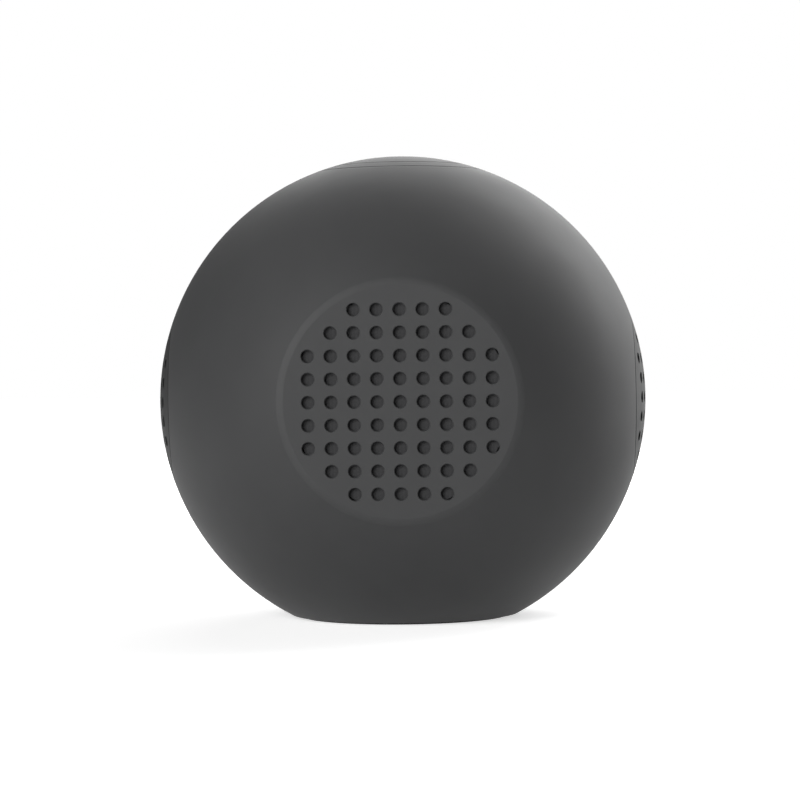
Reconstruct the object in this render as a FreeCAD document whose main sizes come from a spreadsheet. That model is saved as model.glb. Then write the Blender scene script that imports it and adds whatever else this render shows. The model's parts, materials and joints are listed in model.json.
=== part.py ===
import FreeCAD, Part
import math
import os
import Sketcher

# Mini security camera: a ball 68 mm across, standing on a cut flat, in millimetres.
# +Z is up, the lens looks along -Y and the speaker grille along +Y.
# The origin is under the middle of the ball, on the surface that its rubber foot stands on.

doc = FreeCAD.newDocument("security_camera")
sheet = doc.addObject("Spreadsheet::Sheet", "Sizes")
nodes = []


class Size:
    """A size that knows its number and the sheet formula that it comes from."""

    def __init__(self, number, formula):
        self.number = float(number)
        self.formula = formula

    def __add__(self, other):
        other = as_size(other)
        return Size(self.number + other.number, f"({self.formula} + {other.formula})")

    def __sub__(self, other):
        other = as_size(other)
        return Size(self.number - other.number, f"({self.formula} - {other.formula})")

    def __mul__(self, other):
        other = as_size(other)
        return Size(self.number * other.number, f"({self.formula} * {other.formula})")

    def __truediv__(self, other):
        other = as_size(other)
        return Size(self.number / other.number, f"({self.formula} / {other.formula})")

    def __neg__(self):
        return Size(-self.number, f"(0 - {self.formula})")

    def __radd__(self, other):
        return as_size(other) + self

    def __rsub__(self, other):
        return as_size(other) - self

    def __rmul__(self, other):
        return as_size(other) * self


def as_size(thing):
    """A plain number as a Size, so that the two mix in one sum."""
    if isinstance(thing, Size):
        return thing
    return Size(thing, repr(float(thing)))


def root(size):
    """The square root of a Size."""
    return Size(math.sqrt(size.number), f"sqrt({size.formula})")


def reach(radius, offset):
    """How far a circle or ball of this radius reaches, at this offset from its middle."""
    return root(radius * radius - offset * offset)


def cell(alias, number, meaning):
    """Write one driving size into the sheet and hand it back as a Size."""
    cell.row += 1
    sheet.set(f"A{cell.row}", meaning)
    sheet.set(f"B{cell.row}", str(number))
    sheet.setAlias(f"B{cell.row}", alias)
    return Size(number, f"Sizes.{alias}")


cell.row = 0

# How far a cutting tool runs past what it cuts, and how far joined solids run into each other
overrun = 1.0
bite = 0.1

# Driving sizes: the ball and its shells
ball_radius = cell("ball_radius", 34.0, "outer radius of the ball")
shell_wall = cell("shell_wall", 2.0, "wall of both shells")
seam_gap = cell("seam_gap", 0.1, "hairline between the two shells")
lip_thickness = cell("lip_thickness", 0.9, "lip of the rear shell inside the seam")
lip_length = cell("lip_length", 1.5, "how far the lip reaches into the front shell")
lip_clearance = cell("lip_clearance", 0.1, "gap round the lip")
hairline = cell("hairline", 0.15, "groove round each cap and round the button")
flat_edge_radius = cell("flat_edge_radius", 2.0, "rounding of the front and rear flats' edges")
base_edge_radius = cell("base_edge_radius", 0.5, "rounding of the base's edge")
mouth_break = cell("mouth_break", 0.1, "bevel on the mouth of each grille or cap hole")

# Driving sizes: the rear flat and its grille
rear_flat_radius = cell("rear_flat_radius", 15.75, "radius of the flat cut on the rear")
grille_thickness = cell("grille_thickness", 0.8, "thickness of the perforated flat")
grille_pitch = cell("grille_pitch", 3.0, "distance between the grille's holes")
grille_hole_radius = cell("grille_hole_radius", 0.825, "radius of each grille hole")
grille_field_radius = cell("grille_field_radius", 13.6, "circle that holds the hole centres")

# Driving sizes: the front flat, window and lens
front_flat_radius = cell("front_flat_radius", 15.75, "radius of the flat cut on the front")
front_wall = cell("front_wall", 2.4, "thickness of the front flat")
window_radius = cell("window_radius", 14.3, "radius of the dark window")
window_thickness = cell("window_thickness", 1.2, "thickness of the dark window")
window_clearance = cell("window_clearance", 0.05, "gap round the window")
window_ledge_radius = cell("window_ledge_radius", 12.8, "opening behind the window")
bezel_radius = cell("bezel_radius", 8.0, "outer radius of the lens bezel")
edge_break = cell("edge_break", 0.3, "bevel on the bezel's rim")
bezel_proud = cell("bezel_proud", 0.9, "how far the bezel stands off the window")
bezel_neck_radius = cell("bezel_neck_radius", 6.8, "radius of the bezel's neck")
bezel_neck_length = cell("bezel_neck_length", 1.6, "length of the bezel's neck")
bezel_mouth_radius = cell("bezel_mouth_radius", 6.5, "radius of the bezel's mouth")
bezel_throat_radius = cell("bezel_throat_radius", 5.2, "radius of the bezel's throat")
lens_gasket_thickness = cell("lens_gasket_thickness", 0.3, "gasket between bezel and lens")
barrel_head_radius = cell("barrel_head_radius", 6.2, "radius of the lens barrel's head")
barrel_head_length = cell("barrel_head_length", 4.5, "length of the lens barrel's head")
barrel_thread_radius = cell("barrel_thread_radius", 5.95, "radius of the lens barrel's thread")
barrel_thread_length = cell("barrel_thread_length", 8.3, "length of the lens barrel's thread")
barrel_bore_radius = cell("barrel_bore_radius", 4.2, "bore that holds the inner lenses")
front_lens_radius = cell("front_lens_radius", 4.7, "radius of the front glass")
front_lens_curve = cell("front_lens_curve", 9.0, "curve of the front glass")
front_lens_edge = cell("front_lens_edge", 1.7, "depth of the front glass in the barrel")
front_lens_bulge = cell("front_lens_bulge", 1.1, "how far the front glass stands out")
inner_lens_thickness = cell("inner_lens_thickness", 1.6, "thickness of each inner lens")
inner_lens_spacing = cell("inner_lens_spacing", 3.2, "distance between the inner lenses")
lock_ring_radius = cell("lock_ring_radius", 7.6, "outer radius of the focus lock ring")
lock_ring_length = cell("lock_ring_length", 1.4, "length of the focus lock ring")
lock_ring_gap = cell("lock_ring_gap", 2.0, "focus reserve before the lock ring")
holder_radius = cell("holder_radius", 7.4, "outer radius of the lens holder's tube")
holder_tube_length = cell("holder_tube_length", 4.2, "length of the lens holder's tube")
holder_width = cell("holder_width", 22.0, "width of the lens holder's base")
holder_height = cell("holder_height", 16.0, "height of the lens holder's base")
holder_depth = cell("holder_depth", 5.4, "depth of the lens holder's base")
thread_clearance = cell("thread_clearance", 0.1, "gap between barrel and holder")

# Driving sizes: the day and night filter behind the lens
filter_travel = cell("filter_travel", 6.2, "how far the filter slides")
pane_width = cell("pane_width", 5.6, "width and height of each filter pane")
pane_thickness = cell("pane_thickness", 0.3, "thickness of each filter pane")
slider_margin = cell("slider_margin", 0.4, "frame of the slider round its panes")
slider_thickness = cell("slider_thickness", 0.6, "thickness of the slider")
slider_clearance = cell("slider_clearance", 0.1, "gap round the slider")
slot_wall = cell("slot_wall", 1.5, "wall between the lens tube and the filter slot")
pocket_wall = cell("pocket_wall", 0.8, "wall between the filter slot and the sensor")
aperture_radius = cell("aperture_radius", 3.0, "radius of the light path")
pull_rod_radius = cell("pull_rod_radius", 0.5, "radius of the slider's pull rod")
pull_rod_reach = cell("pull_rod_reach", 1.0, "how far the pull rod reaches into the coil")
coil_spare = cell("coil_spare", 0.4, "space past the pull rod's end in the coil")
coil_flange = cell("coil_flange", 0.6, "flange of the filter's coil")
coil_radius = cell("coil_radius", 2.8, "radius of the filter's coil")
sensor_width = cell("sensor_width", 7.0, "width of the image sensor")
sensor_height = cell("sensor_height", 6.0, "height of the image sensor")
sensor_thickness = cell("sensor_thickness", 1.0, "thickness of the image sensor")
pocket_clearance = cell("pocket_clearance", 1.2, "space round the image sensor")

# Driving sizes: lamps and sensors behind the window
lamp_board_radius = cell("lamp_board_radius", 14.2, "outer radius of the lamp board")
lamp_board_bore = cell("lamp_board_bore", 7.6, "inner radius of the lamp board")
board_thickness = cell("board_thickness", 1.0, "thickness of each circuit board")
lamp_circle_radius = cell("lamp_circle_radius", 10.4, "circle of the lamps")
lamp_width = cell("lamp_width", 3.0, "width of each infrared lamp")
lamp_base_height = cell("lamp_base_height", 0.5, "height of each lamp's package")
lamp_lens_radius = cell("lamp_lens_radius", 1.3, "foot of each lamp's lens")
lamp_lens_top_radius = cell("lamp_lens_top_radius", 0.75, "top of each lamp's lens")
lamp_lens_height = cell("lamp_lens_height", 0.6, "height of each lamp's lens")
light_sensor_width = cell("light_sensor_width", 2.2, "width of the light sensor")
light_sensor_height = cell("light_sensor_height", 0.8, "height of the light sensor")
status_lamp_width = cell("status_lamp_width", 1.8, "width of the status lamp")
status_lamp_height = cell("status_lamp_height", 0.7, "height of the status lamp")

# Driving sizes: side caps and what sits behind them
side_cap_radius = cell("side_cap_radius", 11.75, "radius of the groove round each side cap")
side_cap_depth = cell("side_cap_depth", 4.1, "from the ball's side to the cap's seat")
side_ledge_thickness = cell("side_ledge_thickness", 1.6, "ledge that the side cap sits on")
side_ledge_radius = cell("side_ledge_radius", 10.0, "opening in the side ledge")
cap_thickness = cell("cap_thickness", 1.6, "thickness of each cap's dome")
cap_rim_width = cell("cap_rim_width", 0.775, "width of the side cap's rim")
side_pitch = cell("side_pitch", 2.7, "distance between a side cap's holes")
side_hole_radius = cell("side_hole_radius", 0.7, "radius of a side cap's holes")
side_field_radius = cell("side_field_radius", 10.0, "circle that holds the side hole centres")
mesh_thickness = cell("mesh_thickness", 0.15, "thickness of the acoustic meshes")
side_mesh_radius = cell("side_mesh_radius", 10.8, "radius of the side meshes")
siren_radius = cell("siren_radius", 8.6, "radius of the siren")
siren_length = cell("siren_length", 6.0, "length of the siren")
siren_port_radius = cell("siren_port_radius", 1.2, "radius of the siren's port")
siren_wall = cell("siren_wall", 0.8, "wall of the siren's can")
gasket_width = cell("gasket_width", 1.4, "width of the siren's gasket")
gasket_depth = cell("gasket_depth", 0.9, "depth of the siren's gasket")
boot_radius = cell("boot_radius", 5.0, "radius of the microphone's rubber boot")
microphone_radius = cell("microphone_radius", 3.0, "radius of the microphone")
microphone_length = cell("microphone_length", 2.7, "length of the microphone")
sound_port_radius = cell("sound_port_radius", 1.0, "sound port in the boot")
microphone_board_radius = cell("microphone_board_radius", 7.0, "radius of the microphone's board")

# Driving sizes: the top button and its ring
top_ring_radius = cell("top_ring_radius", 11.86, "radius of the groove round the top ring")
top_button_radius = cell("top_button_radius", 9.56, "radius of the groove round the top button")
top_cap_depth = cell("top_cap_depth", 4.1, "from the ball's top to the ring's seat")
top_ledge_thickness = cell("top_ledge_thickness", 1.5, "ledge that the top ring sits on")
top_ledge_radius = cell("top_ledge_radius", 10.9, "opening in the top ledge")
button_wall = cell("button_wall", 1.1, "wall of the button's skirt")
button_flange_radius = cell("button_flange_radius", 10.5, "radius of the button's flange")
button_flange_height = cell("button_flange_height", 0.9, "height of the button's flange")
button_stem_radius = cell("button_stem_radius", 1.6, "radius of the button's stem")
stop_clearance = cell("stop_clearance", 0.05, "gap at a button's upper stop")
switch_width = cell("switch_width", 6.0, "width of the top switch")
switch_height = cell("switch_height", 2.6, "height of the top switch")
plunger_radius = cell("plunger_radius", 1.7, "radius of the top switch's plunger")
plunger_proud = cell("plunger_proud", 0.75, "how far the plunger stands off its switch")
plunger_sunk = cell("plunger_sunk", 1.0, "how far the plunger reaches into its switch")
plunger_clearance = cell("plunger_clearance", 0.05, "gap round each plunger")
top_button_travel = cell("top_button_travel", 0.6, "how far the top button goes in")
button_board_radius = cell("button_board_radius", 10.4, "radius of the button's board")

# Driving sizes: the speaker
speaker_radius = cell("speaker_radius", 14.1, "outer radius of the speaker's frame")
speaker_rim_width = cell("speaker_rim_width", 1.4, "width of the speaker's rim")
speaker_rim_height = cell("speaker_rim_height", 1.4, "height of the speaker's rim")
speaker_gasket_thickness = cell("speaker_gasket_thickness", 0.5, "foam between speaker and mesh")
basket_wall = cell("basket_wall", 0.6, "sheet of the speaker's basket")
basket_floor_width = cell("basket_floor_width", 1.0, "flat of the basket round the yoke")
basket_depth = cell("basket_depth", 2.6, "from the rim to the basket's floor")
collar_radius = cell("collar_radius", 14.4, "inner radius of the shell's speaker collar")
collar_wall = cell("collar_wall", 1.2, "wall of the shell's speaker collar")
collar_depth = cell("collar_depth", 5.0, "depth of the shell's speaker collar")
surround_width = cell("surround_width", 2.1, "width of the rubber surround's roll")
surround_thickness = cell("surround_thickness", 0.3, "rubber of the surround")
cone_thickness = cell("cone_thickness", 0.35, "paper of the cone")
cone_depth = cell("cone_depth", 1.6, "depth of the cone")
dome_curve = cell("dome_curve", 12.0, "curve of the cone's domed cap")
coil_middle_radius = cell("coil_middle_radius", 6.55, "middle radius of the voice coil")
coil_wire_width = cell("coil_wire_width", 0.4, "width of the voice coil's winding")
voice_coil_length = cell("voice_coil_length", 3.0, "length of the voice coil")
magnet_gap = cell("magnet_gap", 0.3, "air on each side of the voice coil")
pole_thickness = cell("pole_thickness", 1.0, "thickness of the pole plate")
magnet_length = cell("magnet_length", 2.5, "length of the magnet")
yoke_wall = cell("yoke_wall", 1.0, "wall of the steel yoke")
clamp_thickness = cell("clamp_thickness", 1.2, "thickness of the speaker's clamp")
clamp_screw_length = cell("clamp_screw_length", 3.2, "length of the clamp's screws")
clamp_skirt_wall = cell("clamp_skirt_wall", 1.0, "wall of the clamp's skirt")
clamp_boss_circle = cell("clamp_boss_circle", 18.2, "circle of the clamp's bosses")
clamp_boss_radius = cell("clamp_boss_radius", 2.0, "radius of the clamp's bosses")

# Driving sizes: base plate, foot and tripod thread
foot_proud = cell("foot_proud", 0.3, "how far the rubber foot stands off the base")
foot_sunk = cell("foot_sunk", 0.5, "depth of the foot's groove")
foot_width = cell("foot_width", 2.7, "width of the rubber foot's ring")
foot_edge = cell("foot_edge", 0.35, "from the foot out to the base plate's rim")
foot_clearance = cell("foot_clearance", 0.05, "gap round the foot in its groove")
base_share = cell("base_share", 0.4632353, "base flat's radius as a share of the ball's")
base_rim = cell("base_rim", 0.95, "from the base plate out to the edge of the base flat")
base_plate_thickness = cell("base_plate_thickness", 2.0, "thickness of the base plate")
base_plate_clearance = cell("base_plate_clearance", 0.1, "gap round the base plate")
base_ledge_width = cell("base_ledge_width", 1.8, "width of the ledge over the base plate")
base_ledge_thickness = cell("base_ledge_thickness", 1.4, "ledge over the base plate")
tripod_thread_radius = cell("tripod_thread_radius", 3.175, "radius of the quarter inch thread")
tripod_insert_radius = cell("tripod_insert_radius", 4.0, "outer radius of the brass insert")
tripod_insert_length = cell("tripod_insert_length", 7.0, "length of the brass insert")
tripod_insert_sunk = cell("tripod_insert_sunk", 0.2, "how far the insert lies below the plate")
tripod_boss_height = cell("tripod_boss_height", 6.3, "from the base plate up to the port board")
tripod_boss_wall = cell("tripod_boss_wall", 1.2, "wall of the boss round the insert")

# Driving sizes: what is reached from below
base_screw_x = cell("base_screw_x", 7.93, "base screws, from the middle along X")
base_screw_y = cell("base_screw_y", 5.55, "base screws, from the middle along Y")
screw_radius = cell("screw_radius", 0.95, "radius of each small screw")
screw_hole_radius = cell("screw_hole_radius", 1.0, "radius of each pilot hole")
screw_head_radius = cell("screw_head_radius", 1.75, "radius of each screw's head")
screw_head_height = cell("screw_head_height", 1.0, "height of each screw's head")
screw_drive_radius = cell("screw_drive_radius", 0.8, "corner radius of each screw's hex drive")
screw_drive_depth = cell("screw_drive_depth", 0.6, "depth of each screw's hex drive")
screw_head_sunk = cell("screw_head_sunk", 0.15, "how far the base screws lie below the plate")
screw_length = cell("screw_length", 5.0, "length of each other screw under its head")
pilot_spare = cell("pilot_spare", 0.3, "how far each pilot hole runs past its screw")
socket_offset = cell("socket_offset", 8.4, "charge socket, from the middle along Y")
socket_width = cell("socket_width", 8.94, "width of the charge socket")
socket_height = cell("socket_height", 3.26, "height of the charge socket")
socket_wall = cell("socket_wall", 0.3, "metal of the charge socket")
socket_clearance = cell("socket_clearance", 0.2, "gap round the charge socket")
socket_sunk = cell("socket_sunk", 0.6, "how far the charge socket lies below the plate")
tongue_width = cell("tongue_width", 6.7, "width of the charge socket's tongue")
tongue_thickness = cell("tongue_thickness", 0.7, "thickness of the charge socket's tongue")
small_part_offset = cell("small_part_offset", 8.2, "reset and power, from the middle along X")
reset_radius = cell("reset_radius", 1.1, "radius of the reset button")
reset_clearance = cell("reset_clearance", 0.08, "gap round the reset button")
reset_sunk = cell("reset_sunk", 0.4, "how far the reset button lies below the plate")
reset_collar_radius = cell("reset_collar_radius", 1.7, "radius of the reset button's collar")
reset_collar_height = cell("reset_collar_height", 0.7, "height of the reset button's collar")
reset_tip_radius = cell("reset_tip_radius", 0.65, "radius of the reset button's tip")
reset_tip_length = cell("reset_tip_length", 1.2, "tip of the reset button in its switch")
reset_travel = cell("reset_travel", 0.4, "how far the reset button goes in")
reset_switch_width = cell("reset_switch_width", 4.2, "width of the reset switch")
reset_switch_height = cell("reset_switch_height", 2.6, "height of the reset switch")
power_travel = cell("power_travel", 2.0, "how far the power slider moves")
power_knob_width = cell("power_knob_width", 1.6, "width of the power slider's knob")
power_knob_sunk = cell("power_knob_sunk", 0.4, "how far the power slider lies below the plate")
power_clearance = cell("power_clearance", 0.1, "gap round the power slider")
power_flange_width = cell("power_flange_width", 3.6, "width of the power slider's flange")
power_flange_length = cell("power_flange_length", 4.0, "length of the power slider's flange")
power_flange_height = cell("power_flange_height", 0.6, "height of the power slider's flange")
power_fork_depth = cell("power_fork_depth", 1.4, "how far the knob reaches into the switch")
power_switch_width = cell("power_switch_width", 3.6, "width of the power switch")
power_switch_length = cell("power_switch_length", 6.4, "length of the power switch")
power_switch_height = cell("power_switch_height", 3.5, "height of the power switch")
card_width = cell("card_width", 11.2, "width of the card slot")
card_gap = cell("card_gap", 0.9, "height of the card slot")
card_socket_width = cell("card_socket_width", 12.6, "width of the card socket")
card_socket_length = cell("card_socket_length", 15.0, "length of the card socket")
card_socket_height = cell("card_socket_height", 1.8, "height of the card socket")
card_slot_margin = cell("card_slot_margin", 0.25, "space round the card in the base plate")
port_board_width = cell("port_board_width", 22.0, "width of the port board")
port_board_front = cell("port_board_front", 6.0, "port board, reach to the front")
port_board_rear = cell("port_board_rear", 12.0, "port board, reach to the rear")

# Driving sizes: main board, battery and the chassis that carries them
main_board_width = cell("main_board_width", 30.0, "width of the main board")
main_board_up = cell("main_board_up", 18.0, "main board, above the ball's middle")
main_board_down = cell("main_board_down", 24.5, "main board, below the ball's middle")
post_x = cell("post_x", 12.4, "board posts, from the middle along X")
post_up = cell("post_up", 15.4, "upper board posts, above the ball's middle")
post_down = cell("post_down", 11.5, "lower board posts, below the ball's middle")
post_radius = cell("post_radius", 2.2, "radius of the posts and bosses")
processor_width = cell("processor_width", 12.0, "width of the processor")
processor_height = cell("processor_height", 1.4, "height of the processor")
shield_width = cell("shield_width", 11.0, "width of the radio's shield can")
shield_length = cell("shield_length", 14.0, "length of the radio's shield can")
shield_height = cell("shield_height", 2.4, "height of the radio's shield can")
shield_wall = cell("shield_wall", 0.3, "metal of the radio's shield can")
chip_gap = cell("chip_gap", 1.5, "space between processor and shield can")
chassis_front = cell("chassis_front", 2.6, "chassis plate, front face before the middle")
chassis_wall = cell("chassis_wall", 1.6, "wall of the chassis")
chassis_clearance = cell("chassis_clearance", 1.5, "space between chassis plate and shells")
ear_radius = cell("ear_radius", 9.0, "radius of the chassis's ears")
floor_lap = cell("floor_lap", 1.2, "how far the chassis's floor reaches past the base plate")
floor_clearance = cell("floor_clearance", 0.4, "space round parts that pass the floor")
battery_width = cell("battery_width", 30.0, "width of the battery")
battery_thickness = cell("battery_thickness", 10.0, "thickness of the battery")
battery_height = cell("battery_height", 40.0, "height of the battery")
battery_lift = cell("battery_lift", 1.5, "battery's middle above the ball's middle")
battery_clearance = cell("battery_clearance", 0.15, "gap round the battery in its tray")
battery_corner = cell("battery_corner", 2.0, "rounding of the battery's corners")
tray_depth = cell("tray_depth", 6.0, "depth of the battery's tray")

# Planes and places that the sizes above lead to
base_flat_radius = ball_radius * base_share
base_plate_radius = base_flat_radius - base_rim
base_ledge_radius = base_plate_radius - base_ledge_width
foot_radius = base_plate_radius - foot_edge
foot_bore = foot_radius - foot_width
chassis_floor_radius = base_plate_radius + floor_lap
inner_radius = ball_radius - shell_wall
rear_plane = reach(ball_radius, rear_flat_radius)
front_plane = reach(ball_radius, front_flat_radius)
base_floor = foot_proud
ball_height = foot_proud + reach(ball_radius, base_flat_radius)
ball_top = ball_height + ball_radius
rear_floor = rear_plane - grille_thickness
front_floor = front_plane - front_wall
side_seat = ball_radius - side_cap_depth
side_floor = side_seat - side_ledge_thickness
top_seat = ball_top - top_cap_depth
top_floor = top_seat - top_ledge_thickness
base_plate_top = base_floor + base_plate_thickness
base_ledge_top = base_plate_top + base_ledge_thickness
past_ball = ball_radius + overrun

TURN = {
    "x": FreeCAD.Rotation(FreeCAD.Vector(0, 1, 0), 90),
    "y": FreeCAD.Rotation(FreeCAD.Vector(1, 0, 0), -90),
    "z": FreeCAD.Rotation(),
}
TURN_BACK = {
    "x": FreeCAD.Rotation(FreeCAD.Vector(0, 1, 0), -90),
    "y": FreeCAD.Rotation(FreeCAD.Vector(1, 0, 0), 90),
    "z": FreeCAD.Rotation(FreeCAD.Vector(1, 0, 0), 180),
}
MIDDLE = {"x": (0, ball_height), "y": (0, ball_height), "z": (0, 0)}


def bind(item, field, size):
    """Tie one property of an object to the sheet."""
    item.setExpression(field, as_size(size).formula)


def place(item, axis, along, across=None, backwards=False):
    """Stand an object on a line along an axis, its own Z pointing that way."""
    side = across or MIDDLE[axis]
    spot = list(side)
    spot.insert("xyz".index(axis), along)
    turn = TURN_BACK[axis] if backwards else TURN[axis]
    item.Placement = FreeCAD.Placement(FreeCAD.Vector(), turn)
    for letter, size in zip("xyz", spot):
        bind(item, "Placement.Base." + letter, size)
    return item


def rod(name, radius, axis, low, high, across=None):
    """A cylinder along an axis, from low to high."""
    item = doc.addObject("Part::Cylinder", name)
    bind(item, "Radius", radius)
    bind(item, "Height", as_size(high) - low)
    return place(item, axis, low, across)


def ring(name, outer, inner, axis, low, high, across=None):
    """A tube along an axis, from low to high."""
    body = rod(name + "_outside", outer, axis, low, high, across)
    bore = rod(name + "_bore", inner, axis, as_size(low) - overrun, as_size(high) + overrun, across)
    return cut(name, body, bore)


def globe(name, radius, spot=None):
    """A whole ball, in the camera's middle unless a spot is given."""
    item = doc.addObject("Part::Sphere", name)
    bind(item, "Radius", radius)
    middle = spot or (0, 0, ball_height)
    for letter, size in zip("xyz", middle):
        bind(item, "Placement.Base." + letter, size)
    return item


def block(name, x, y, z):
    """A box between a low and a high place along each axis."""
    item = doc.addObject("Part::Box", name)
    for field, letter, (low, high) in zip(("Length", "Width", "Height"), "xyz", (x, y, z)):
        bind(item, field, as_size(high) - low)
        bind(item, "Placement.Base." + letter, low)
    return item


def about(middle, width):
    """The low and high ends of a width about a middle."""
    half = as_size(width) / 2
    return (as_size(middle) - half, as_size(middle) + half)


def join(name, parts):
    """The parts made one solid."""
    item = doc.addObject("Part::MultiFuse", name)
    item.Shapes = parts
    return item


def gather(name, parts):
    """The parts kept as separate solids in one group."""
    item = doc.addObject("Part::Compound", name)
    item.Links = parts
    return item


def cut(name, base, *tools):
    """The base without its tools, cut one after the other."""
    for number, tool in enumerate(tools, start=1):
        last = number == len(tools)
        item = doc.addObject("Part::Cut", name if last else f"{name}_step_{number}")
        item.Base = base
        item.Tool = tool
        base = item
    return base


def overlap(name, first, second):
    """What two shapes share."""
    item = doc.addObject("Part::Common", name)
    item.Base = first
    item.Tool = second
    return item


def sketch_on(body, role, corners):
    """A closed outline of straight lines, each corner held by two sizes from the origin."""
    sketch = body.newObject("Sketcher::SketchObject", body.Name + "_outline")
    plane = [item for item in body.Origin.OriginFeatures if item.Role == role][0]
    sketch.AttachmentSupport = (plane, [""])
    sketch.MapMode = "FlatFace"
    spots = []
    for across, along in corners:
        spots.append(FreeCAD.Vector(as_size(across).number, as_size(along).number, 0))
    for index, spot in enumerate(spots):
        sketch.addGeometry(Part.LineSegment(spot, spots[(index + 1) % len(spots)]))
    for index, corner in enumerate(corners):
        following = (index + 1) % len(corners)
        sketch.addConstraint(Sketcher.Constraint("Coincident", index, 2, following, 1))
        for kind, axis, size in zip(("DistanceX", "DistanceY"), (-2, -1), corner):
            if as_size(size).number == 0:
                sketch.addConstraint(Sketcher.Constraint("PointOnObject", index, 1, axis))
                continue
            held = Sketcher.Constraint(kind, -1, 1, index, 1, as_size(size).number)
            number = sketch.addConstraint(held)
            bind(sketch, f"Constraints[{number}]", size)
    return sketch


def turned(name, axis, start, corners, across=None, backwards=False):
    """A turned piece: an outline of (radius, distance) corners, revolved about its own axis."""
    body = doc.addObject("PartDesign::Body", name)
    sketch = sketch_on(body, "XZ_Plane", corners)
    spin = body.newObject("PartDesign::Revolution", name + "_turning")
    spin.Profile = sketch
    spin.ReferenceAxis = (sketch, ["V_Axis"])
    spin.Angle = 360
    return place(body, axis, start, across, backwards)


def board(name, width, low, high, axis, start, thickness):
    """A flat board: a rectangle, padded up from its lower face or forward from its back face."""
    body = doc.addObject("PartDesign::Body", name)
    half = as_size(width) / 2
    corners = [(-half, low), (half, low), (half, high), (-half, high)]
    sketch = sketch_on(body, "XY_Plane", corners)
    pad = body.newObject("PartDesign::Pad", name + "_pad")
    pad.Profile = sketch
    bind(pad, "Length", thickness)
    return place(body, axis, start, (0, 0), backwards=axis == "y")


def grid_steps(pitch, field_radius):
    """Steps across and up to each hole of a square grid whose centre lies inside a circle."""
    reach_in_steps = math.floor(field_radius.number / pitch.number)
    steps = []
    for column in range(-reach_in_steps, reach_in_steps + 1):
        for row in range(-reach_in_steps, reach_in_steps + 1):
            if math.hypot(column, row) * pitch.number <= field_radius.number:
                steps.append((column, row))
    return steps


def grid(name, pitch, field_radius, radius, axis, low, high):
    """The rods that cut a grid of round holes."""
    holes = []
    for column, row in grid_steps(pitch, field_radius):
        across = (pitch * column, ball_height + pitch * row)
        holes.append(rod(f"{name}_{len(holes)}", radius, axis, low, high, across))
    return gather(name, holes)


def mouths(name, pitch, field_radius, radius, axis, side, face):
    """The cones that break the edge of each hole, where face gives the surface's place."""
    cones = []
    for column, row in grid_steps(pitch, field_radius):
        cone = doc.addObject("Part::Cone", f"{name}_{len(cones)}")
        bind(cone, "Radius1", radius)
        bind(cone, "Radius2", radius + mouth_break * 2)
        bind(cone, "Height", mouth_break * 2)
        across = (pitch * column, ball_height + pitch * row)
        start = (face(pitch * math.hypot(column, row)) - mouth_break) * side
        cones.append(place(cone, axis, start, across, backwards=side < 0))
    return gather(name, cones)


def round_edges(name, base, radius, wanted):
    """The base with its wanted edges rounded."""
    doc.recompute()
    item = doc.addObject("Part::Fillet", name)
    item.Base = base
    chosen = []
    for number, edge in enumerate(base.Shape.Edges, start=1):
        if wanted(edge):
            chosen.append((number, radius.number, radius.number))
    item.Edges = chosen
    return item


def circle_at(letter, place_along):
    """A test for whole round edges lying across an axis at one place."""

    def wanted(edge):
        box = edge.BoundBox
        low = getattr(box, letter + "Min")
        high = getattr(box, letter + "Max")
        at_place = abs(low - place_along.number) < 0.001 and abs(high - place_along.number) < 0.001
        return at_place and len(edge.Vertexes) == 1

    return wanted


def upright(edge):
    """A test for straight edges along Z."""
    box = edge.BoundBox
    return box.XLength < 0.001 and box.YLength < 0.001


def node(item, name):
    """Make an object one of the camera's pieces, under the name of its file."""
    item.Label = name
    nodes.append(item)
    return item


def corners_of_four(x, y):
    """The four corners of a rectangle about the middle."""
    return [(x * across, y * along) for across in (-1, 1) for along in (-1, 1)]


def on_circle(radius, degrees):
    """A place on an upright circle about the ball's middle, from +X towards the top."""
    turn = math.radians(degrees)
    across = radius * round(math.cos(turn), 9)
    up = ball_height + radius * round(math.sin(turn), 9)
    return (across, up)


def screw(name, axis, head, length, across):
    """One small screw: its head starts at head and its shank runs on by its length."""
    neck = head + screw_head_height
    tip = neck + length
    spans = [(screw_head_radius, head, neck), (screw_radius, neck, tip)]
    parts = []
    for number, (radius, low, high) in enumerate(spans):
        parts.append(rod(f"{name}_part_{number}", radius, axis, low, high, across))
    drive = doc.addObject("Part::Prism", name + "_drive")
    drive.Polygon = 6
    bind(drive, "Circumradius", screw_drive_radius)
    bind(drive, "Height", screw_drive_depth + overrun)
    place(drive, axis, head - overrun, across)
    return cut(name, join(name + "_blank", parts), drive)


# Both shells begin as one hollow ball with three flats, its ledges thickened from inside
ball = globe("ball", ball_radius)
ball_limits = block(
    "ball_limits",
    (-past_ball, past_ball),
    (-front_plane, rear_plane),
    (base_floor, ball_top + overrun),
)
cut_ball = overlap("cut_ball", ball, ball_limits)
front_edge_rounded = round_edges(
    "front_edge_rounded", cut_ball, flat_edge_radius, circle_at("Y", -front_plane)
)
rear_edge_rounded = round_edges(
    "rear_edge_rounded", front_edge_rounded, flat_edge_radius, circle_at("Y", rear_plane)
)
outside = round_edges(
    "outside", rear_edge_rounded, base_edge_radius, circle_at("Z", base_floor)
)
hollow_limits = block(
    "hollow_limits",
    (-side_floor, side_floor),
    (-front_floor, rear_floor),
    (base_ledge_top, top_floor),
)
hollow = overlap("hollow", globe("inner_ball", inner_radius), hollow_limits)

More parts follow.
